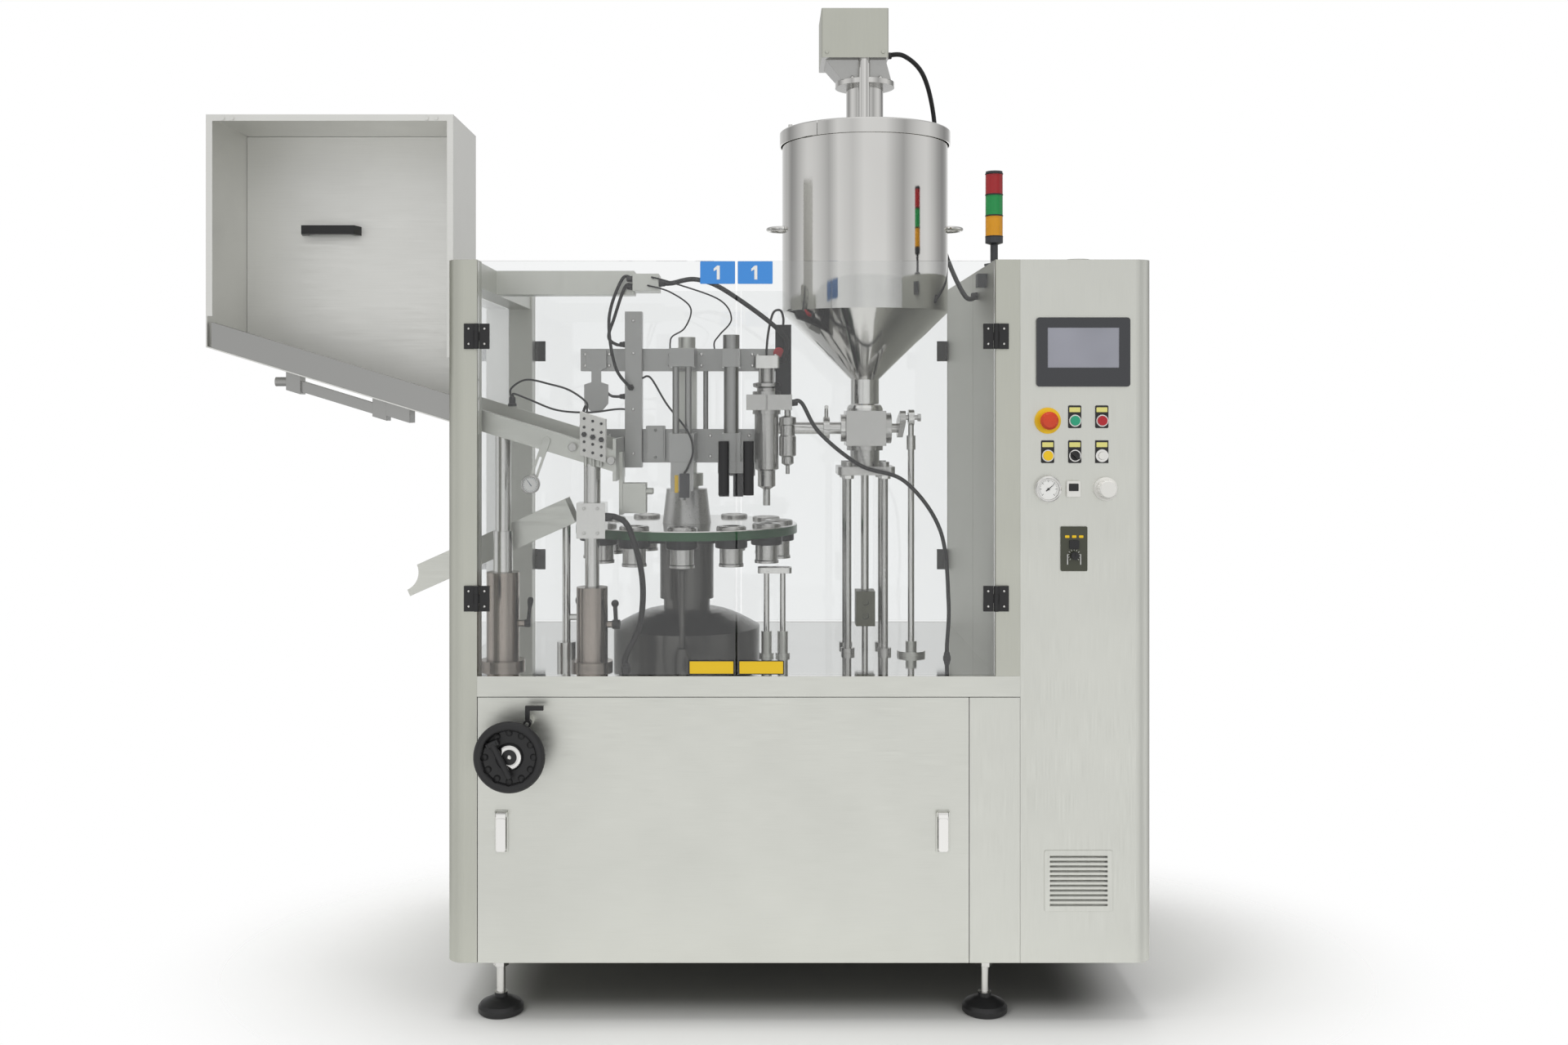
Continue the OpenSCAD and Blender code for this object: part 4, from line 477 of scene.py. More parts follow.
# The tower's lenses are 50 mm high, amber at the bottom, on a 69 mm foot
LENS_MM, TOWER_FOOT = 50.0, TOP_Z + 69.1
for order, lens in enumerate((lens_amber, lens_green, lens_red)):
    low = TOWER_FOOT + order * LENS_MM
    repaint("signal_tower", lens, in_box(z=(low, low + LENS_MM)))

# The screen is the recessed face of the operator panel
repaint("operator_panel", screen_glass, in_box((566, 731), (-5.6, -4.1), (1494.5, 1587.5)))

# What stands on the outer face of a rear door's pane is black: hinge leaves and handle
REAR_Y = 880.0
for name in ("rear_left_door", "rear_right_door"):
    repaint(name, black_plastic, in_box(y=(REAR_Y - 0.1, FAR)))

# The bridge handle stands in front of the cassette's back plate
repaint("cassette_backplate", black_plastic, in_box(y=(-FAR, 345), z=(1819, 1879)))

# The worktop's folded front, the mixer's cover, its cast taper below, and the station plate's top
repaint("worktop", sheet_level, lambda c, n: n.y < -0.5)
repaint("mixer_drive", post_metal, in_box(z=(COVER_Z + 0.5, FAR)))
repaint("mixer_drive", aluminium, lambda c, n: n.z < -0.15)
repaint("turntable", polished, lambda c, n: n.z > 0.6)

# The carrier disc under the station plate is black, and so are the cups' collars in it
repaint("turret_hub", black_oxide, in_box(z=(1060, 1098)))
repaint("tube_cups", black_oxide, in_box(z=(1064.5, 1087.5)))

# Column sleeves are wider than the rods they carry
SLEEVE_TOP, SLEEVE_R = (TABLE_Z + 224) / 1000, 0.054
for column in (column_1, column_2):
    axis = place(*column, 0)
    repaint("loader_columns", sleeve_bronze,
            lambda c, n: c.z < SLEEVE_TOP and math.hypot(c.x - axis.x, c.y - axis.y) < SLEEVE_R)

# The pump's crosshead is the 88 mm block on the piston rod
repaint("fill_piston", phosphated, in_box(z=(TABLE_Z + 62, TABLE_Z + 152)))

# The filling head's back bar and the sealing jaws are black
repaint("fill_head", black_oxide, in_box(x=(fill[0] + 21, FAR), z=(1435, FAR)))
repaint("tool_beams", black_oxide, in_box(x=(-200, FAR), z=(-FAR, 1247)))

# Air valve and dial gauge in front of the infeed chute's wall
VALVE_FOOT = 13.0
valve_box = in_box(x=(-515, FAR), y=(-FAR, 89.5))


def over_chute(c):
    return c.z * 1000 - chute_floor(c.x * 1000 + MACHINE_MID[0])


repaint("infeed_chute", white_plastic, lambda c, n: valve_box(c, n) and over_chute(c) > VALVE_FOOT)
repaint("infeed_chute", steel, in_box((-FAR, -600), (-FAR, 84.5), (-FAR, 1247)))

# %% [markdown]
# The operator's controls are one CAD node: collars, bezels, a lamp, a gauge case and a speed panel.
# Each is found by its place on the cabinet's front, and gets the finish of the real thing.

# %% Finishes of the control row
row_x, row_z = (567.5, 629.5, 691.5), (1374.0, 1294.0, 1218.0)
stop_at, lamp_at, gauge_at = (row_x[0], row_z[0]), (row_x[2], row_z[1]), (row_x[0], row_z[2])
regulator_at, switch_at, speed_at = (row_x[2] + 8, row_z[2]), (row_x[1] - 4, row_z[2]), (627.5, 1081.0)
button_at = [(row_x[1], row_z[0]), (row_x[2], row_z[0]), (row_x[0], row_z[1]), (row_x[1], row_z[1])]
COLLAR_R, BEZEL_R, LAMP_R, GAUGE_R, LAMP_LENS_R, REGULATOR_R = 31, 13.9, 15, 31, 9, 28
SWITCH_SIZE, SPEED_SIZE = (32, 37), (62, 103)


def near(c, at, radius_mm):
    spot = place(at[0], 0, at[1])
    return math.hypot(c.x - spot.x, c.z - spot.z) < radius_mm / 1000


def within(c, at, width_mm, height_mm):
    spot = place(at[0], 0, at[1])
    return abs(c.x - spot.x) < width_mm / 2000 and abs(c.z - spot.z) < height_mm / 2000


repaint("control_trim", plate_yellow, lambda c, n: near(c, stop_at, COLLAR_R))
repaint("control_trim", polished, lambda c, n: any(near(c, at, BEZEL_R) for at in button_at)
        or near(c, lamp_at, LAMP_R) or near(c, gauge_at, GAUGE_R))
repaint("control_trim", white_plastic, lambda c, n: near(c, lamp_at, LAMP_LENS_R)
        or near(c, regulator_at, REGULATOR_R) or within(c, switch_at, *SWITCH_SIZE))
repaint("control_trim", speed_olive, lambda c, n: within(c, speed_at, *SPEED_SIZE))

# %% [markdown]
# ## Small pieces
# Two helpers shape all the small pieces: a turned body from a profile of radius and height, as a lathe
# makes it, and a flat body from an outline with a thickness. Each finished piece then rides on the CAD
# body that carries it.

# %% Helpers for turned and flat pieces
UP, FRONT, BACK, RIGHT = Vector((0, 0, 1)), Vector((0, -1, 0)), Vector((0, 1, 0)), Vector((1, 0, 0))
RIM_STEPS = 32


def keep(name, shape, material, body="machine", sharp_deg=35):
    mesh = bpy.data.meshes.new(name)
    bmesh.ops.remove_doubles(shape, verts=shape.verts, dist=1e-6)
    bmesh.ops.recalc_face_normals(shape, faces=shape.faces)
    shape.to_mesh(mesh)
    shape.free()
    mesh.shade_smooth()
    mesh.set_sharp_from_angle(angle=math.radians(sharp_deg))
    mesh.materials.append(material)
    piece = bpy.data.objects.new(name, mesh)
    scene.collection.objects.link(piece)
    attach(piece, body)


def turn(shape, profile, base, axis=UP, steps=RIM_STEPS):
    """Adds a turned body to shape: profile is (radius, height) in mm, from its foot to its top."""
    turned_to = axis.to_track_quat("Z", "Y").to_matrix()
    rings = []
    for radius, height in profile:
        if radius == 0:
            rings.append([shape.verts.new(base + turned_to @ Vector((0, 0, height / 1000)))])
            continue
        rings.append([shape.verts.new(base + turned_to @ Vector((
            radius / 1000 * math.cos(a * math.tau / steps), radius / 1000 * math.sin(a * math.tau / steps),
            height / 1000))) for a in range(steps)])
    for low, high in zip(rings, rings[1:]):
        for a in range(steps):
            b = (a + 1) % steps
            corners = [low[a % len(low)], low[b % len(low)], high[b % len(high)], high[a % len(high)]]
            shape.faces.new(list(dict.fromkeys(corners)))


def slab(shape, outline, depth, to_world):
    """Adds a flat body to shape: outline is (u, v) in mm, depth in mm, to_world places (u, v, w)."""
    front = [shape.verts.new(to_world(u, v, depth)) for u, v in outline]
    back = [shape.verts.new(to_world(u, v, 0)) for u, v in outline]
    shape.faces.new(front)
    shape.faces.new(back[::-1])
    for i in range(len(outline)):
        j = (i + 1) % len(outline)
        shape.faces.new([front[i], back[i], back[j], front[j]])


def round_rect(width, height, radius, steps=5):
    points = []
    for sx, sy, start in ((1, 1, 0), (-1, 1, 90), (-1, -1, 180), (1, -1, 270)):
        for k in range(steps + 1):
            a = math.radians(start + 90 * k / steps)
            points.append((sx * (width / 2 - radius) + radius * math.cos(a),
                           sy * (height / 2 - radius) + radius * math.sin(a)))
    return points


def on_front(x, y, z):
    """Places a slab on a face that looks to the front: u to the right, v up, w out of the face."""
    return lambda u, v, w: place(x + u, y - w, z + v)


def on_dial(at, face, angle):
    """Places a slab on a dial that looks to the front: v runs outwards at angle, u across, w out."""
    c, s = math.cos(angle), math.sin(angle)
    return lambda u, v, w: place(at[0] + v * c + u * s, face - w, at[1] + v * s - u * c)


def stroke(half, low, high, tip=None):
    tip = tip or half
    return [(-half, low), (half, low), (tip, high), (-tip, high)]


def flat_piece(name, outline, depth, to_world, material, body="machine", slot="machined_steel"):
    shape = bmesh.new()
    slab(shape, outline, depth, to_world)
    keep(name, shape, material, body)


def turned_piece(name, profile, base, axis, steps, material, slot):
    shape = bmesh.new()
    turn(shape, profile, base, axis, steps)
    keep(name, shape, material)


def dial_face(name, at, face, radius, thick):
    turned_piece(name, [(0, 0), (radius, 0), (radius, thick), (0, thick)], place(at[0], face, at[1]), FRONT,
                 RIM_STEPS, film_white, "stainless_sheet")


print("helpers:", [f.__name__ for f in (turn, slab, flat_piece, turned_piece, dial_face)])

# %% [markdown]
# ## Plates on the doors
# Each front door carries a blue plate with the number one at its top corner, and a yellow plate at
# its bottom corner. They are printed film, half a millimetre thick. The yellow plates stay bare.

# %% Door plates
PANE_FRONT = 0.15
FILM, PRINT = 0.4, 0.3
DOOR_SPLIT, BLUE_Z, YELLOW_Z = -145.0, TOP_Z - 30, TABLE_Z + 20
NUMERAL = [(-9, 9), (-1, 16), (5, 16), (5, -16), (-2, -16), (-2, 7), (-9, 3)]
for side, door in ((-1, "left_door"), (1, "right_door")):
    blue, yellow = (DOOR_SPLIT + side * 43, BLUE_Z), (DOOR_SPLIT + side * 57, YELLOW_Z)
    for part, (x, z), raised, outline, depth, material, slot in (
            ("number_plate", blue, 0, round_rect(80, 52, 2), FILM, plate_blue, "clear_acrylic"),
            ("number", blue, FILM, NUMERAL, PRINT, film_white, "clear_acrylic"),
            ("plate_edge", yellow, 0, round_rect(104, 32, 1.5), FILM, black_plastic, "clear_acrylic"),
            ("bare_plate", yellow, FILM, round_rect(100, 28, 1), PRINT, plate_yellow, "yellow_plastic")):
        spot = on_front(x, PANE_FRONT - raised, z)
        flat_piece(f"{door}_{part}", outline, depth, spot, material, door, slot)
print("door plates beside x =", DOOR_SPLIT)

# %% [markdown]
# ## Screws
# A pan head with a hexagon socket is a turned profile with a pit in the middle. One mesh holds all
# the heads that ride on one body, so the scene stays easy to read.

# %% Hinge screws
def screw_head(shape, at, axis, head_d, head_h):
    r, socket = head_d / 2, head_d * 0.28
    turn(shape, [(r, 0), (r, head_h * 0.5), (r * 0.82, head_h * 0.85), (r * 0.55, head_h),
                 (socket, head_h), (socket, head_h * 0.35), (0, head_h * 0.3)], at, axis, 18)


HINGE_HALF, LEFT_HINGE_X = 29.0, -739.0
HINGE_Z = (967.0, 1567.0)
LEAF_FLOOR = -4.0
HINGE_SCREW = (6.4, 4)
leaf_u, leaf_v = HINGE_HALF * 0.62, HINGE_HALF * 0.6
post_screws = bmesh.new()
door_screws = {door: bmesh.new() for door in ("left_door", "right_door", "rear_left_door", "rear_right_door")}
for door, shape in door_screws.items():
    axis_x, inward = (LEFT_HINGE_X, 1) if "left" in door else (DOOR_POST_X, -1)
    y, axis = (REAR_Y - LEAF_FLOOR, BACK) if "rear" in door else (LEAF_FLOOR, FRONT)
    for z in HINGE_Z:
        for up in (-1, 1):
            for leaf, u in ((shape, leaf_u), (post_screws, -leaf_u)):
                screw_head(leaf, place(axis_x + inward * u, y, z + up * leaf_v), axis, *HINGE_SCREW)
for door, shape in door_screws.items():
    keep(f"{door}_hinge_screws", shape, polished, door)
keep("post_hinge_screws", post_screws, polished)
print("hinge screws:", 4 * len(door_screws) * len(HINGE_Z))

# %% [markdown]
# ## Controls
# Above each button and the lamp is a pale yellow label plate, left bare. The lamp sits in a black plate
# of two halves, which meet above and below its ring.

# %% Label plates and lamp plate
PLATE_FRONT, LABEL_RISE, LAMP_RING = -2.0, 25, 14.8
shape = bmesh.new()
for x, z in (*button_at, lamp_at):
    slab(shape, round_rect(25, 11, 1), 0.5, on_front(x, PLATE_FRONT - 0.05, z + LABEL_RISE))
keep("button_label_plates", shape, label_film)
shape = bmesh.new()
for side, edge in ((1, 35), (-1, -17)):
    arc = [math.radians(side * a) for a in range(172, 7, -12)]
    round_lamp = [(LAMP_RING * math.cos(a), LAMP_RING * math.sin(a)) for a in arc]
    slab(shape, [(-15, 0), *round_lamp, (15, 0), (15, edge), (-15, edge)], 2.0,
         on_front(lamp_at[0], -0.05, lamp_at[1]))
keep("lamp_plate", shape, black_plastic)
print("label plates:", len(button_at) + 1)

# %% [markdown]
# The pressure gauge has a white dial with 31 marks, every fifth one long, and a needle.

# %% Gauge dial
DIAL_FACE, DIAL_T, MARK_R, MARKS = -10.05, 0.6, 21, 31
NEEDLE_DEG = 40
dial_face("gauge_dial", gauge_at, DIAL_FACE, 24.5, DIAL_T)
marks = bmesh.new()
for step in range(MARKS):
    long, half = (5.0, 0.5) if step % 5 == 0 else (2.6, 0.25)
    slab(marks, stroke(half, MARK_R - long, MARK_R), 0.2,
         on_dial(gauge_at, DIAL_FACE - DIAL_T, math.radians(225 - step * 9)))
slab(marks, stroke(1.2, -7, 17, 0.3), 0.4,
     on_dial(gauge_at, DIAL_FACE - 2 * DIAL_T, math.radians(NEEDLE_DEG)))
turn(marks, [(2.4, 0), (2.4, 2.0), (0, 2.4)], place(gauge_at[0], DIAL_FACE - 0.7, gauge_at[1]), FRONT, 20)
keep("gauge_marks", marks, black_plastic)
print("gauge marks:", MARKS)

# %% [markdown]
# The speed panel has a scale round its knob, two white lines beside it, and a dark rocker and three lamps
# above. The pressure switch has a dark window.

# %% Speed panel and pressure switch
SPEED_FACE, SWITCH_FACE, SCALE_MARKS = -4.05, -9.05, 11
knob_at = (speed_at[0], speed_at[1] - 15)
scale = bmesh.new()
for step in range(SCALE_MARKS):
    slab(scale, stroke(0.5, 11, 15), 0.2, on_dial(knob_at, SPEED_FACE, math.radians(225 - step * 27)))
for x in (-15, 15):
    slab(scale, stroke(1, -12, 12), 0.2, on_front(speed_at[0] + x, SPEED_FACE, speed_at[1] - 24))
keep("speed_scale", scale, film_white)
lamps = bmesh.new()
for x in (-16, 0, 16):
    slab(lamps, round_rect(10, 6, 1.5), 1.2, on_front(speed_at[0] + x, SPEED_FACE, speed_at[1] + 28))
keep("speed_lamps", lamps, plate_yellow)
window = bmesh.new()
slab(window, round_rect(22, 17, 1.5), 0.8, on_front(switch_at[0], SWITCH_FACE, switch_at[1] + 4))
slab(window, round_rect(22, 20, 2), 3.0, on_front(speed_at[0], SPEED_FACE, speed_at[1] + 10))
keep("switch_windows", window, black_plastic)
print("speed scale marks:", SCALE_MARKS)

# %% [markdown]
# ## Signal tower gaskets and wheel hub
# Black gaskets part the tower's three lenses. The handwheel's hub carries a bright ring and a screw.

# %% Gaskets and hub ring
tower_at = (469.0, 150.0)
gaskets = bmesh.new()
for level in range(4):
    turn(gaskets, [(20.6, 0), (21.3, 0.6), (21.3, 2.8), (20.6, 3.4)],
         place(*tower_at, TOP_Z + 67.5 + level * LENS_MM), UP)
keep("tower_gaskets", gaskets, black_plastic)
hub_face = place(-652, -80.05, 622)
hub = bmesh.new()
turn(hub, [(17, 0), (17, 0.9), (17.6, 1.3), (26.2, 1.3), (26.8, 0.9), (26.8, 0)], hub_face, FRONT, 48)
screw_head(hub, hub_face, FRONT, 10, 2.4)
keep("handwheel_hub_ring", hub, polished, "handwheel")
print("gaskets: 4, hub ring: 1")

# %% [markdown]
# ## Hose glands
# A hose enters its block through a gland: a hexagon nut and a round collar. The gland stands on the
# same face as the hose's end, and points along the hose's first or last stretch.

# %% Glands at both ends of every hose
def gland(shape, end, along, hose_d):
    r = hose_d / 2
    axis = (place(*along) - place(*end)).normalized()
    foot = place(*end) - axis * SEAT / 1000
    turn(shape, [(r + 4.5, 0.05), (r + 4.5, 6), (r + 4.0, 6.6), (r + 0.1, 6.6)], foot, axis, 6)
    turn(shape, [(r + 2.6, 6.5), (r + 2.6, 12), (r + 1.4, 15), (r + 0.1, 15), (r + 0.1, 6.5), (r + 2.6, 6.5)],
         foot, axis, 24)


glands = bmesh.new()
for diameter, points in hose_routes.values():
    gland(glands, points[0], points[1], diameter)
    gland(glands, points[-1], points[-2], diameter)
keep("hose_glands", glands, black_plastic, sharp_deg=25)
print("glands:", 2 * len(hose_routes))

# %% [markdown]
# ## Sensor cables
# Thin cables join the sensors to the air manifold and the square tube. They are clipped down at both
# ends, so they keep their shape. The same spline draws them, 4 to 6 mm thick.

# %% Thin cables
CONNECTOR_H = 24.0
plug_x, plug_y = -712.0, 323.5
plug_top = chute_floor(plug_x) + 66 + CONNECTOR_H
thin_cables = {
    "valve_cable": (5, [
        (plug_x - 3, plug_y, plug_top), (plug_x - 2, plug_y, plug_top + 22), (-676, 322, 1474),
        (-612, 292, 1462), (-552, 196, 1446), (-500, 88, 1418), (-496, 78, 1400), (-496, 78, 1391.0)]),
    "tube_cable": (5, [
        (plug_x + 3, plug_y, plug_top), (plug_x + 4, plug_y, plug_top + 8), (-668, 322, 1424),
        (-600, 320, 1398), (-520, 316, 1392), (-452, 314, 1400), (-427.3, 314, 1400)]),
    "beam_cable_left": (4, [
        (-362, 245.7, 1702), (-362, 232, 1702), (-310, 230, 1686), (-262, 256, 1650), (-278, 308, 1604),
        (-312, 350, 1584), (-318, 355, 1568), (-318, 355, 1552.3)]),
    "beam_cable_right": (4, [
        (-352, 245.7, 1722), (-352, 230, 1722), (-296, 222, 1706), (-190, 240, 1668), (-162, 290, 1624),
        (-192, 338, 1588), (-206, 354, 1570), (-206, 355, 1552.3)]),
    "sensor_head_cable": (5, [
        (-384.7, 314, 1478), (-364, 314, 1478), (-318, 224, 1412), (-262, 134, 1346), (-250, 120, 1300),
        (-262, 122, 1262), (-270, 130, 1250), (-270, 144.7, 1250)]),
    "nozzle_air_line": (6, [
        (-74.5, 282.5, 1532.3), (-74.5, 282.5, 1548), (-70, 288, 1592), (-58, 306, 1640), (-40, 326, 1648),
        (-32.5, 329, 1630), (-32.5, 329, 1612.3)]),
}
for name, (diameter, points) in thin_cables.items():
    cord(name, points, diameter)
turned_piece("chute_connector", [(0, 0.05), (11, 0.05), (11, 7), (8.5, 8), (8.5, 20), (7, 23.8), (0, 23.8)],
             place(plug_x, plug_y, plug_top - CONNECTOR_H), UP, 24, black_plastic, "black_plastic")
print("thin cables:", len(thin_cables))

# %% [markdown]
# ## Sensor head, knob and clamp levers
# The sensor over the third station is a dark box beside a yellow strip. A red release knob sits on
# the filling head's back bar. Two more clamp levers hold the first column and the adjuster spindle.

# %% Sensor, knob, levers
HEAD_FRONT = 144.9
lever_feet = [((-653.0, 150.0, 889.0), -35), ((-541.0, 254.0, 889.0), 40)]
flat_piece("sensor_strip", round_rect(9, 42, 1), 3.0, on_front(-290, HEAD_FRONT, 1222), plate_yellow,
           slot="yellow_plastic")
flat_piece("sensor_box", round_rect(24, 58, 2), 6.0, on_front(-271, HEAD_FRONT, 1218), panel_plastic,
           slot="black_plastic")
turned_piece("release_knob",
             [(0, 0.05), (8, 0.05), (8, 5), (12.5, 6), (13.5, 10), (13.5, 17), (11, 20.5), (0, 21.5)],
             place(-44, 323, 1541), FRONT, 28, button_red, "red_plastic")
levers = bmesh.new()
for (x, y, z), lean in lever_feet:
    turn(levers, [(0, 0.05), (9, 0.05), (9.5, 2), (9.5, 12), (7, 14), (0, 14)], place(x, y, z), RIGHT, 24)
    arm = Matrix.Rotation(math.radians(lean), 3, "X") @ UP
    turn(levers, [(0, 0), (5.0, 2), (4.2, 40), (6.5, 52), (7.5, 60), (6.0, 67), (0, 69)],
         place(x + 8, y, z), arm, 20)
keep("fixed_clamp_levers", levers, black_plastic)
print("sensor, knob and", len(lever_feet), "levers")

# %% [markdown]
# ## Thumbscrews, ports and filter mat
# Two knurled thumbscrews clamp the air valve's bracket, and the valve's face has three rows of ports.
# Behind the vent's blades lies a pale fleece mat, so the slots don't look into the empty cabinet.

# %% Thumbscrews, ports and filter mat
KNURLS, VALVE_FACE, BLADE_REAR, MAT_T = 20, 64.0, 5.0, 6.0
thumbs = bmesh.new()
for x, above in ((-530.0, 26.0), (-440.0, 22.0)):
    base = place(x, 90, chute_floor(x) + above)
    turn(thumbs, [(0, 0.05), (3.5, 0.05), (3.5, 9), (0, 9)], base, FRONT, 16)
    turn(thumbs, [(0, 8.9), (9, 8.9), (10, 10), (10, 17), (9, 18.2), (0, 18.2)], base, FRONT, KNURLS)
keep("chute_thumbscrews", thumbs, steel, sharp_deg=12)
ports = bmesh.new()
for x in (CHUTE_X - 64, CHUTE_X - 44, CHUTE_X - 24):
    for above in (28, 48, 82, 102):
        turn(ports, [(0, 0.05), (3.4, 0.05), (3.4, 0.8), (2.6, 1.4), (0, 1.0)],
             place(x, VALVE_FACE, chute_floor(x) + above), FRONT, 16)
    turn(ports, [(0, 0.05), (6.5, 0.05), (6.5, 3), (4.5, 5), (0, 5)],
         place(x, VALVE_FACE, chute_floor(x) + 65), FRONT, 6)
keep("air_valve_ports", ports, black_plastic)
flat_piece("vent_filter_mat", round_rect(150, 132, 4), MAT_T,
           on_front(638.5, BLADE_REAR + 0.6 + MAT_T, 321), fleece, slot="black_plastic")
print("thumbscrews: 2, ports: 15, filter mat: 1")

# %% [markdown]
# ## Filling head and beam fittings
# The filling head's rod carries a return spring between its collar and a square cap. A spring is a
# helix, so a loop works out its points. A small valve box sits on the lower tool beam, and hexagon nuts
# hold the pump's tie rods under their flange.

# %% Spring, cap, valve box and nuts
COLLAR_Z, CAP_Z, CAP_TOP = VALVE_MID + 116.0, VALVE_MID + 149.0, VALVE_MID + 180.0
SPRING_R, WIRE_D, COILS, COIL_STEPS = 19.4, 2.4, 6, 18
CAP_SCREW, BEAM_FRONT, BOX_X, BOX_Z = 22, BEAM_Y - 40, -352, 1314
TIE_HALF, FLANGE_Z = 46.0, TABLE_Z + 446.0
spring_path = []
for k in range(COILS * COIL_STEPS + 1):
    a = math.tau * k / COIL_STEPS
    rise = COLLAR_Z + WIRE_D / 2 + (CAP_Z - COLLAR_Z - WIRE_D) * k / (COILS * COIL_STEPS)
    spring_path.append(place(fill[0] + SPRING_R * math.cos(a), fill[1] + SPRING_R * math.sin(a), rise))
tube("return_spring", spring_path, WIRE_D, polished_rod)
cap = bmesh.new()
slab(cap, round_rect(62, 62, 6), CAP_TOP - CAP_Z, lambda u, v, w: place(fill[0] + u, fill[1] + v, CAP_Z + w))
for u in (-CAP_SCREW, CAP_SCREW):
    for v in (-CAP_SCREW, CAP_SCREW):
        screw_head(cap, place(fill[0] + u, fill[1] + v, CAP_TOP), UP, 8, 4)
keep("filling_head_cap", cap, polished)
box = bmesh.new()
for outline, depth, y in ((round_rect(48, 90, 3), 26, BEAM_FRONT - 0.05),
                          (round_rect(40, 82, 3), 2, BEAM_FRONT - 26.05)):
    slab(box, outline, depth, on_front(BOX_X, y, BOX_Z))
for v in (-34, 34):
    screw_head(box, place(BOX_X, BEAM_FRONT - 28.05, BOX_Z + v), FRONT, 7, 3)
keep("beam_valve_box", box, aluminium)
nuts = bmesh.new()
for u in (-TIE_HALF, TIE_HALF):
    for v in (-TIE_HALF, TIE_HALF):
        turn(nuts, [(9.1, 0.05), (14.5, 0.05), (15.5, 1.2), (15.5, 9), (14.5, 10), (9.1, 10)],
             place(pump[0] + u, pump[1] + v, FLANGE_Z), -UP, 6)
keep("tie_rod_nuts", nuts, polished, sharp_deg=20)
print("spring coils:", COILS, "cap screws: 4, valve box: 1, nuts: 4")

# %% [markdown]
# ## Dial gauge
# The dial in front of the chute shows the set height. It is drawn like the pressure gauge, smaller.

# %% Dial gauge face
set_at, SET_FACE, SET_T, SET_MARKS = (-628.0, 1224.35), 72.95, 0.5, 20
HAND_STEP = 7
dial_face("height_dial", set_at, SET_FACE, 18.2, SET_T)
shape = bmesh.new()
for step in range(SET_MARKS):
    at_step = on_dial(set_at, SET_FACE - SET_T, math.radians(step * 18))
    slab(shape, stroke(0.3, 13.5, 17), 0.2, at_step)
    if step == HAND_STEP:
        slab(shape, stroke(1.0, -5, 13, 0.4), 0.6, at_step)
keep("height_dial_marks", shape, drive_paint)
print("height dial marks:", SET_MARKS)

# %% [markdown]
# ## Cap screws
# Beams, clamps and flanges are bolted. The heads are the same turned screw as on the hinges, in rows
# or rings, larger where the joint is larger.

# %% Cap screws on the machine
FLANGE_SCREW_R, FLANGE_TOP, HEAD_H = 70.0, LID_TOP + 127, 5
MAST_FRONT, BLOCK_FRONT = BEAM_Y - 82, 102
screw_rows = [((-530, -470, -318, -238, -150, -110), BEAM_FRONT, (1510, 1538), 9),
              ((-468, -306, -216, -118), BEAM_FRONT, (1282, 1334), 9),
              ((-406,), MAST_FRONT, (1290, 1400, 1540, 1620), 8),
              ((-506, -474), BLOCK_FRONT, (1108, 1166), 8)]
screws = bmesh.new()
count = 0
for row, y, heights, head_d in screw_rows:
    for x in row:
        for z in heights:
            screw_head(screws, place(x, y, z), FRONT, head_d, HEAD_H)
            count += 1
for degrees in (0, 60, 90, 120, 240, 300):
    a = math.radians(degrees)
    screw_head(screws, place(pump[0] + FLANGE_SCREW_R * math.cos(a), pump[1] + FLANGE_SCREW_R * math.sin(a),
                             FLANGE_TOP), UP, 9, HEAD_H)
    count += 1
keep("machine_cap_screws", screws, polished)
print("cap screws:", count)

# %% [markdown]
# ## Studio
# The photograph has a white background, and only a soft shadow on the floor round the feet. The floor
# is a white sheet that fades out just beyond the shadow, so that the white world takes over and no
# edge shows.

# %% Floor
FLOOR_R = 9.0
SHADOW_MID = place(0, 420, 0).x
SHADOW_HALF = (0.98, 0.62)
# Painted shadow under the cabinet, in metres from its middle: darkest within the first distance, plain paper
# beyond the second
PAINTED_SHADOW_X, PAINTED_SHADOW_Y = (0.60, 0.84), (0.27, 0.50)
FADE_FROM, FADE_TO = 0.95, 1.75
floor_mesh = bpy.data.meshes.new("studio_floor")
floor_shape = bmesh.new()
bmesh.ops.create_circle(floor_shape, cap_ends=True, segments=96, radius=FLOOR_R)
floor_shape.to_mesh(floor_mesh)
floor_shape.free()
floor = bpy.data.objects.new("studio_floor", floor_mesh)
scene.collection.objects.link(floor)

paper, paper_tree, paper_shader = start_material("matt_white_paper", "#f2f2f0", Roughness=0.9)
paper_where = add(paper_tree, "ShaderNodeTexCoord")
paper_oval = add(paper_tree, "ShaderNodeMapping",
                 {"Location": (-SHADOW_MID / SHADOW_HALF[0], 0, 0),
                  "Scale": (1 / SHADOW_HALF[0], 1 / SHADOW_HALF[1], 1)},
                 {"Vector": paper_where.outputs["Object"]})
paper_out = add(paper_tree, "ShaderNodeVectorMath", {"operation": "LENGTH"},
                {"Vector": paper_oval.outputs["Vector"]})
paper_fade = add(paper_tree, "ShaderNodeMapRange",
                 {"interpolation_type": "SMOOTHSTEP", "From Min": FADE_FROM, "From Max": FADE_TO},
                 {"Value": paper_out.outputs["Value"]})
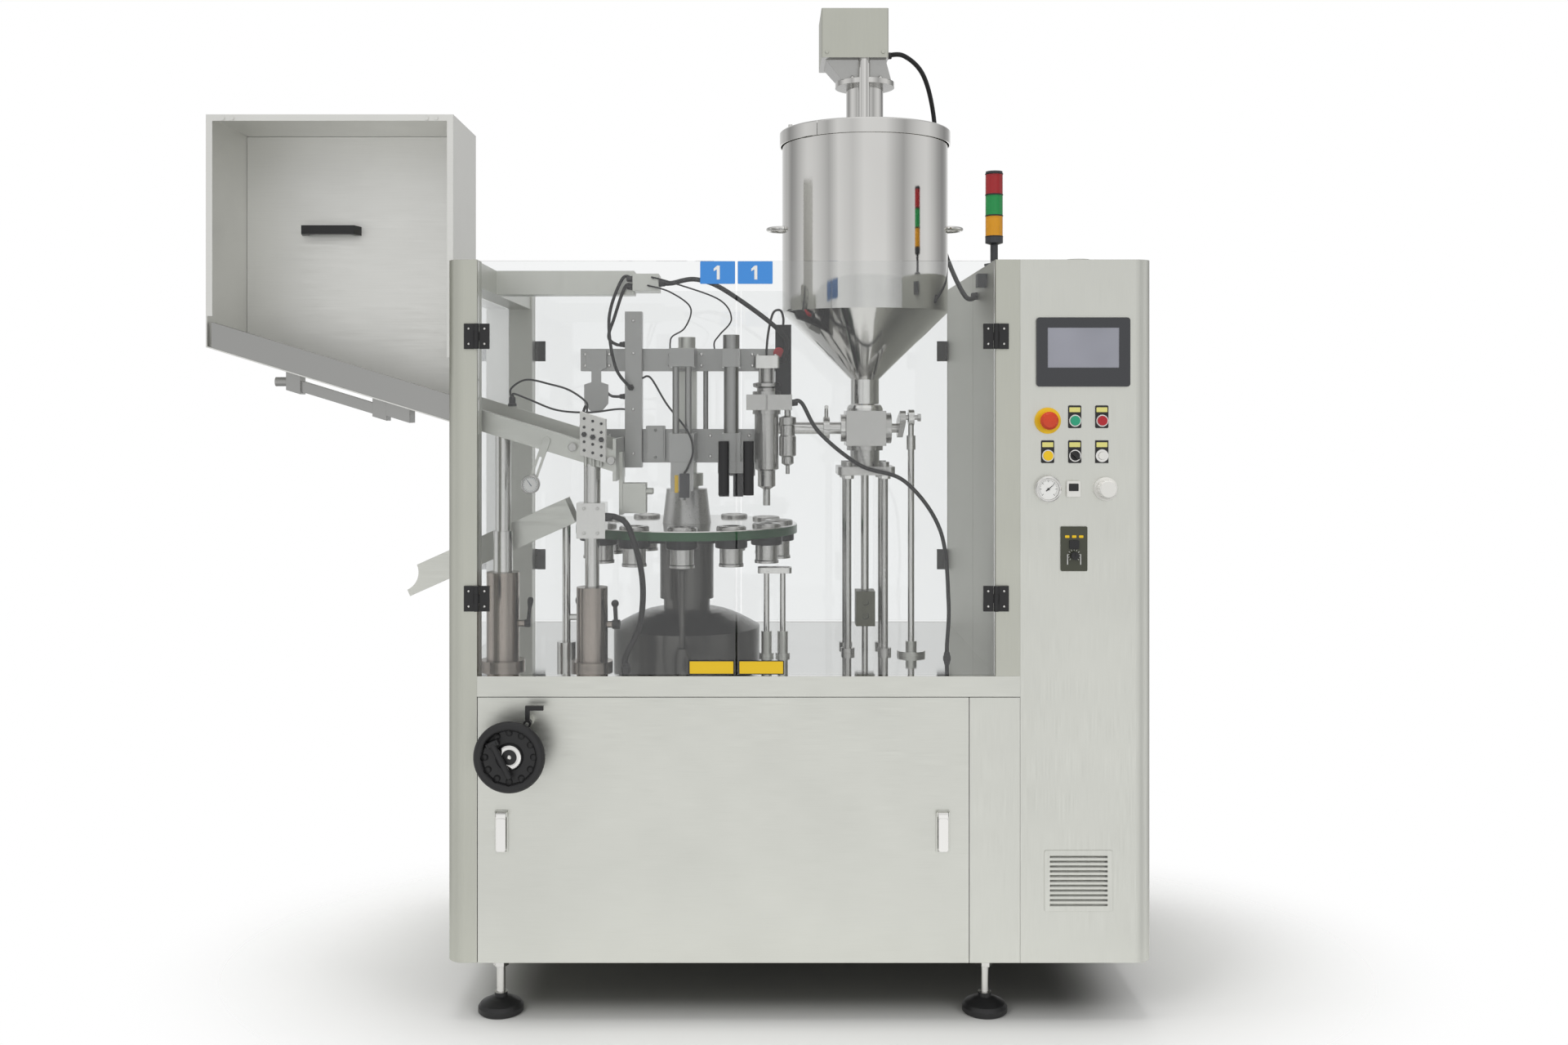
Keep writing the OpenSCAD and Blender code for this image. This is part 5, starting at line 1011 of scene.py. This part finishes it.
# Painted shadow: inside the cabinet's outline the paper's colour is mixed darker, where little light gets
# under it, on top of the shadow that the lamps cast
paper_xyz = add(paper_tree, "ShaderNodeSeparateXYZ", None, {"Vector": paper_where.outputs["Object"]})
shades = []
for axis, middle, (dark_to, light_from) in (("X", SHADOW_MID, PAINTED_SHADOW_X), ("Y", 0.0, PAINTED_SHADOW_Y)):
    from_middle = maths(paper_tree, "SUBTRACT", paper_xyz.outputs[axis], middle)
    distance = maths(paper_tree, "ABSOLUTE", from_middle.outputs["Value"])
    shade = add(paper_tree, "ShaderNodeMapRange",
                {"interpolation_type": "SMOOTHSTEP", "From Min": light_from, "From Max": dark_to},
                {"Value": distance.outputs["Value"]})
    shades.append(shade.outputs["Result"])
painted_shadow = maths(paper_tree, "MULTIPLY", shades[0])
paper_tree.links.new(shades[1], painted_shadow.inputs[1])
paper_painted_shadow = add(paper_tree, "ShaderNodeMixRGB", {"Color1": linear("#f2f2f0"), "Color2": linear("#6e6e6b")},
                 {"Fac": painted_shadow.outputs["Value"]})
paper_tree.links.new(paper_painted_shadow.outputs["Color"], paper_shader.inputs["Base Color"])
paper_clear = add(paper_tree, "ShaderNodeBsdfTransparent")
paper_mix = mix_shaders(paper_tree, paper_fade.outputs["Result"], paper_shader.outputs["BSDF"],
                        paper_clear.outputs["BSDF"])
paper_tree.links.new(paper_mix, paper_tree.nodes["Material Output"].inputs["Surface"])
floor_mesh.materials.append(paper)
print("floor shadow oval", SHADOW_HALF, "m, round x =", round(SHADOW_MID, 3))

# %% [markdown]
# The world is plain white where the camera looks straight at it, or through the panes. Metal would
# look flat in an all-white room. So a ray that has bounced off metal sees a studio instead: two darker
# upright bands beside the soft boxes, a bright floor in front, and grey wings on both sides of the
# white backdrop. Turned parts get their shaded edges from the wings, and the worktop mirrors the white.

# %% World
LIGHT_LEVEL = 0.50
world = bpy.data.worlds.new("studio_world")
scene.world = world
world.use_nodes = True
world.cycles.sampling_method = "NONE"
sky = world.node_tree
sky.nodes.clear()
rays = add(sky, "ShaderNodeLightPath")
direction = add(sky, "ShaderNodeTexCoord")
parts = add(sky, "ShaderNodeSeparateXYZ", None, {"Vector": direction.outputs["Generated"]})


def levels(axis, stops):
    """A grey ramp along one axis of the view direction: stops are (component from -1 to 1, level)."""
    along = add(sky, "ShaderNodeMapRange", {"From Min": -1.0, "From Max": 1.0},
                {"Value": parts.outputs[axis]})
    ramp = add(sky, "ShaderNodeValToRGB", None, {"Fac": along.outputs["Result"]})
    elements = ramp.color_ramp.elements
    elements[0].position, elements[1].position = 0.0, 1.0
    for at, _ in stops[1:-1]:
        elements.new((at + 1) / 2)
    for element, (_, level) in zip(elements, stops):
        element.color = (level, level, level, 1.0)
    return ramp.outputs["Color"]


side_bands = levels("X", [(-1, 0.95), (-0.80, 0.58), (-0.64, 0.95), (-0.34, 0.80), (-0.08, 1.0), (0.40, 0.97),
                          (0.64, 0.66), (0.76, 0.52), (1, 0.95)])
front_to_back = levels("Y", [(-1, 1.0), (0.0, 1.0), (0.45, 0.66), (0.80, 0.68), (0.94, 1.0), (1, 1.0)])
floor_to_top = levels("Z", [(-1, 0.55), (-0.6, 0.80), (-0.3, 1.14), (-0.05, 0.96), (0.15, 0.82), (0.5, 0.90),
                            (1, 1.0)])
bands = add(sky, "ShaderNodeMixRGB", {"blend_type": "MULTIPLY", "Fac": 1.0},
            {"Color1": side_bands, "Color2": front_to_back})
studio = add(sky, "ShaderNodeMixRGB", {"blend_type": "MULTIPLY", "Fac": 1.0},
             {"Color1": bands.outputs["Color"], "Color2": floor_to_top})
white = add(sky, "ShaderNodeBackground", {"Color": (1, 1, 1, 1), "Strength": 1.0})
room = add(sky, "ShaderNodeBackground", {"Strength": 1.0}, {"Color": studio.outputs["Color"]})
light = add(sky, "ShaderNodeBackground", {"Color": (1, 1, 1, 1), "Strength": LIGHT_LEVEL})
after_paint = maths(sky, "MINIMUM", rays.outputs["Diffuse Depth"], 1.0)
after_metal = maths(sky, "MINIMUM", rays.outputs["Glossy Depth"], 1.0)
lit = mix_shaders(sky, after_paint.outputs["Value"], white.outputs["Background"], light.outputs["Background"])
seen = mix_shaders(sky, after_metal.outputs["Value"], lit, room.outputs["Background"])
add(sky, "ShaderNodeOutputWorld", None, {"Surface": seen})
print("world light level", LIGHT_LEVEL)

# %% [markdown]
# Three soft boxes light the plastics and the floor. Metal mirrors the world above instead of the
# boxes, so no box outline shows in it.

# %% Soft boxes
def soft_box(name, at, aim, size, watts):
    data = bpy.data.lights.new(name, "AREA")
    data.shape = "RECTANGLE"
    data.size, data.size_y = size
    data.energy = watts
    lamp = bpy.data.objects.new(name, data)
    lamp.location = at
    lamp.rotation_euler = (Vector(aim) - Vector(at)).to_track_quat("-Z", "Y").to_euler()
    lamp.visible_glossy = lamp.visible_transmission = False
    scene.collection.objects.link(lamp)


soft_box("key_soft_box", (-2.6, -3.4, 3.4), (0, 0, 1.0), (2.4, 2.4), 70)
soft_box("fill_soft_box", (3.2, -2.8, 2.4), (0, 0, 1.1), (2.0, 2.4), 40)
soft_box("top_soft_box", (0, 0.2, 4.6), (0, 0, 0), (3.0, 2.2), 110)
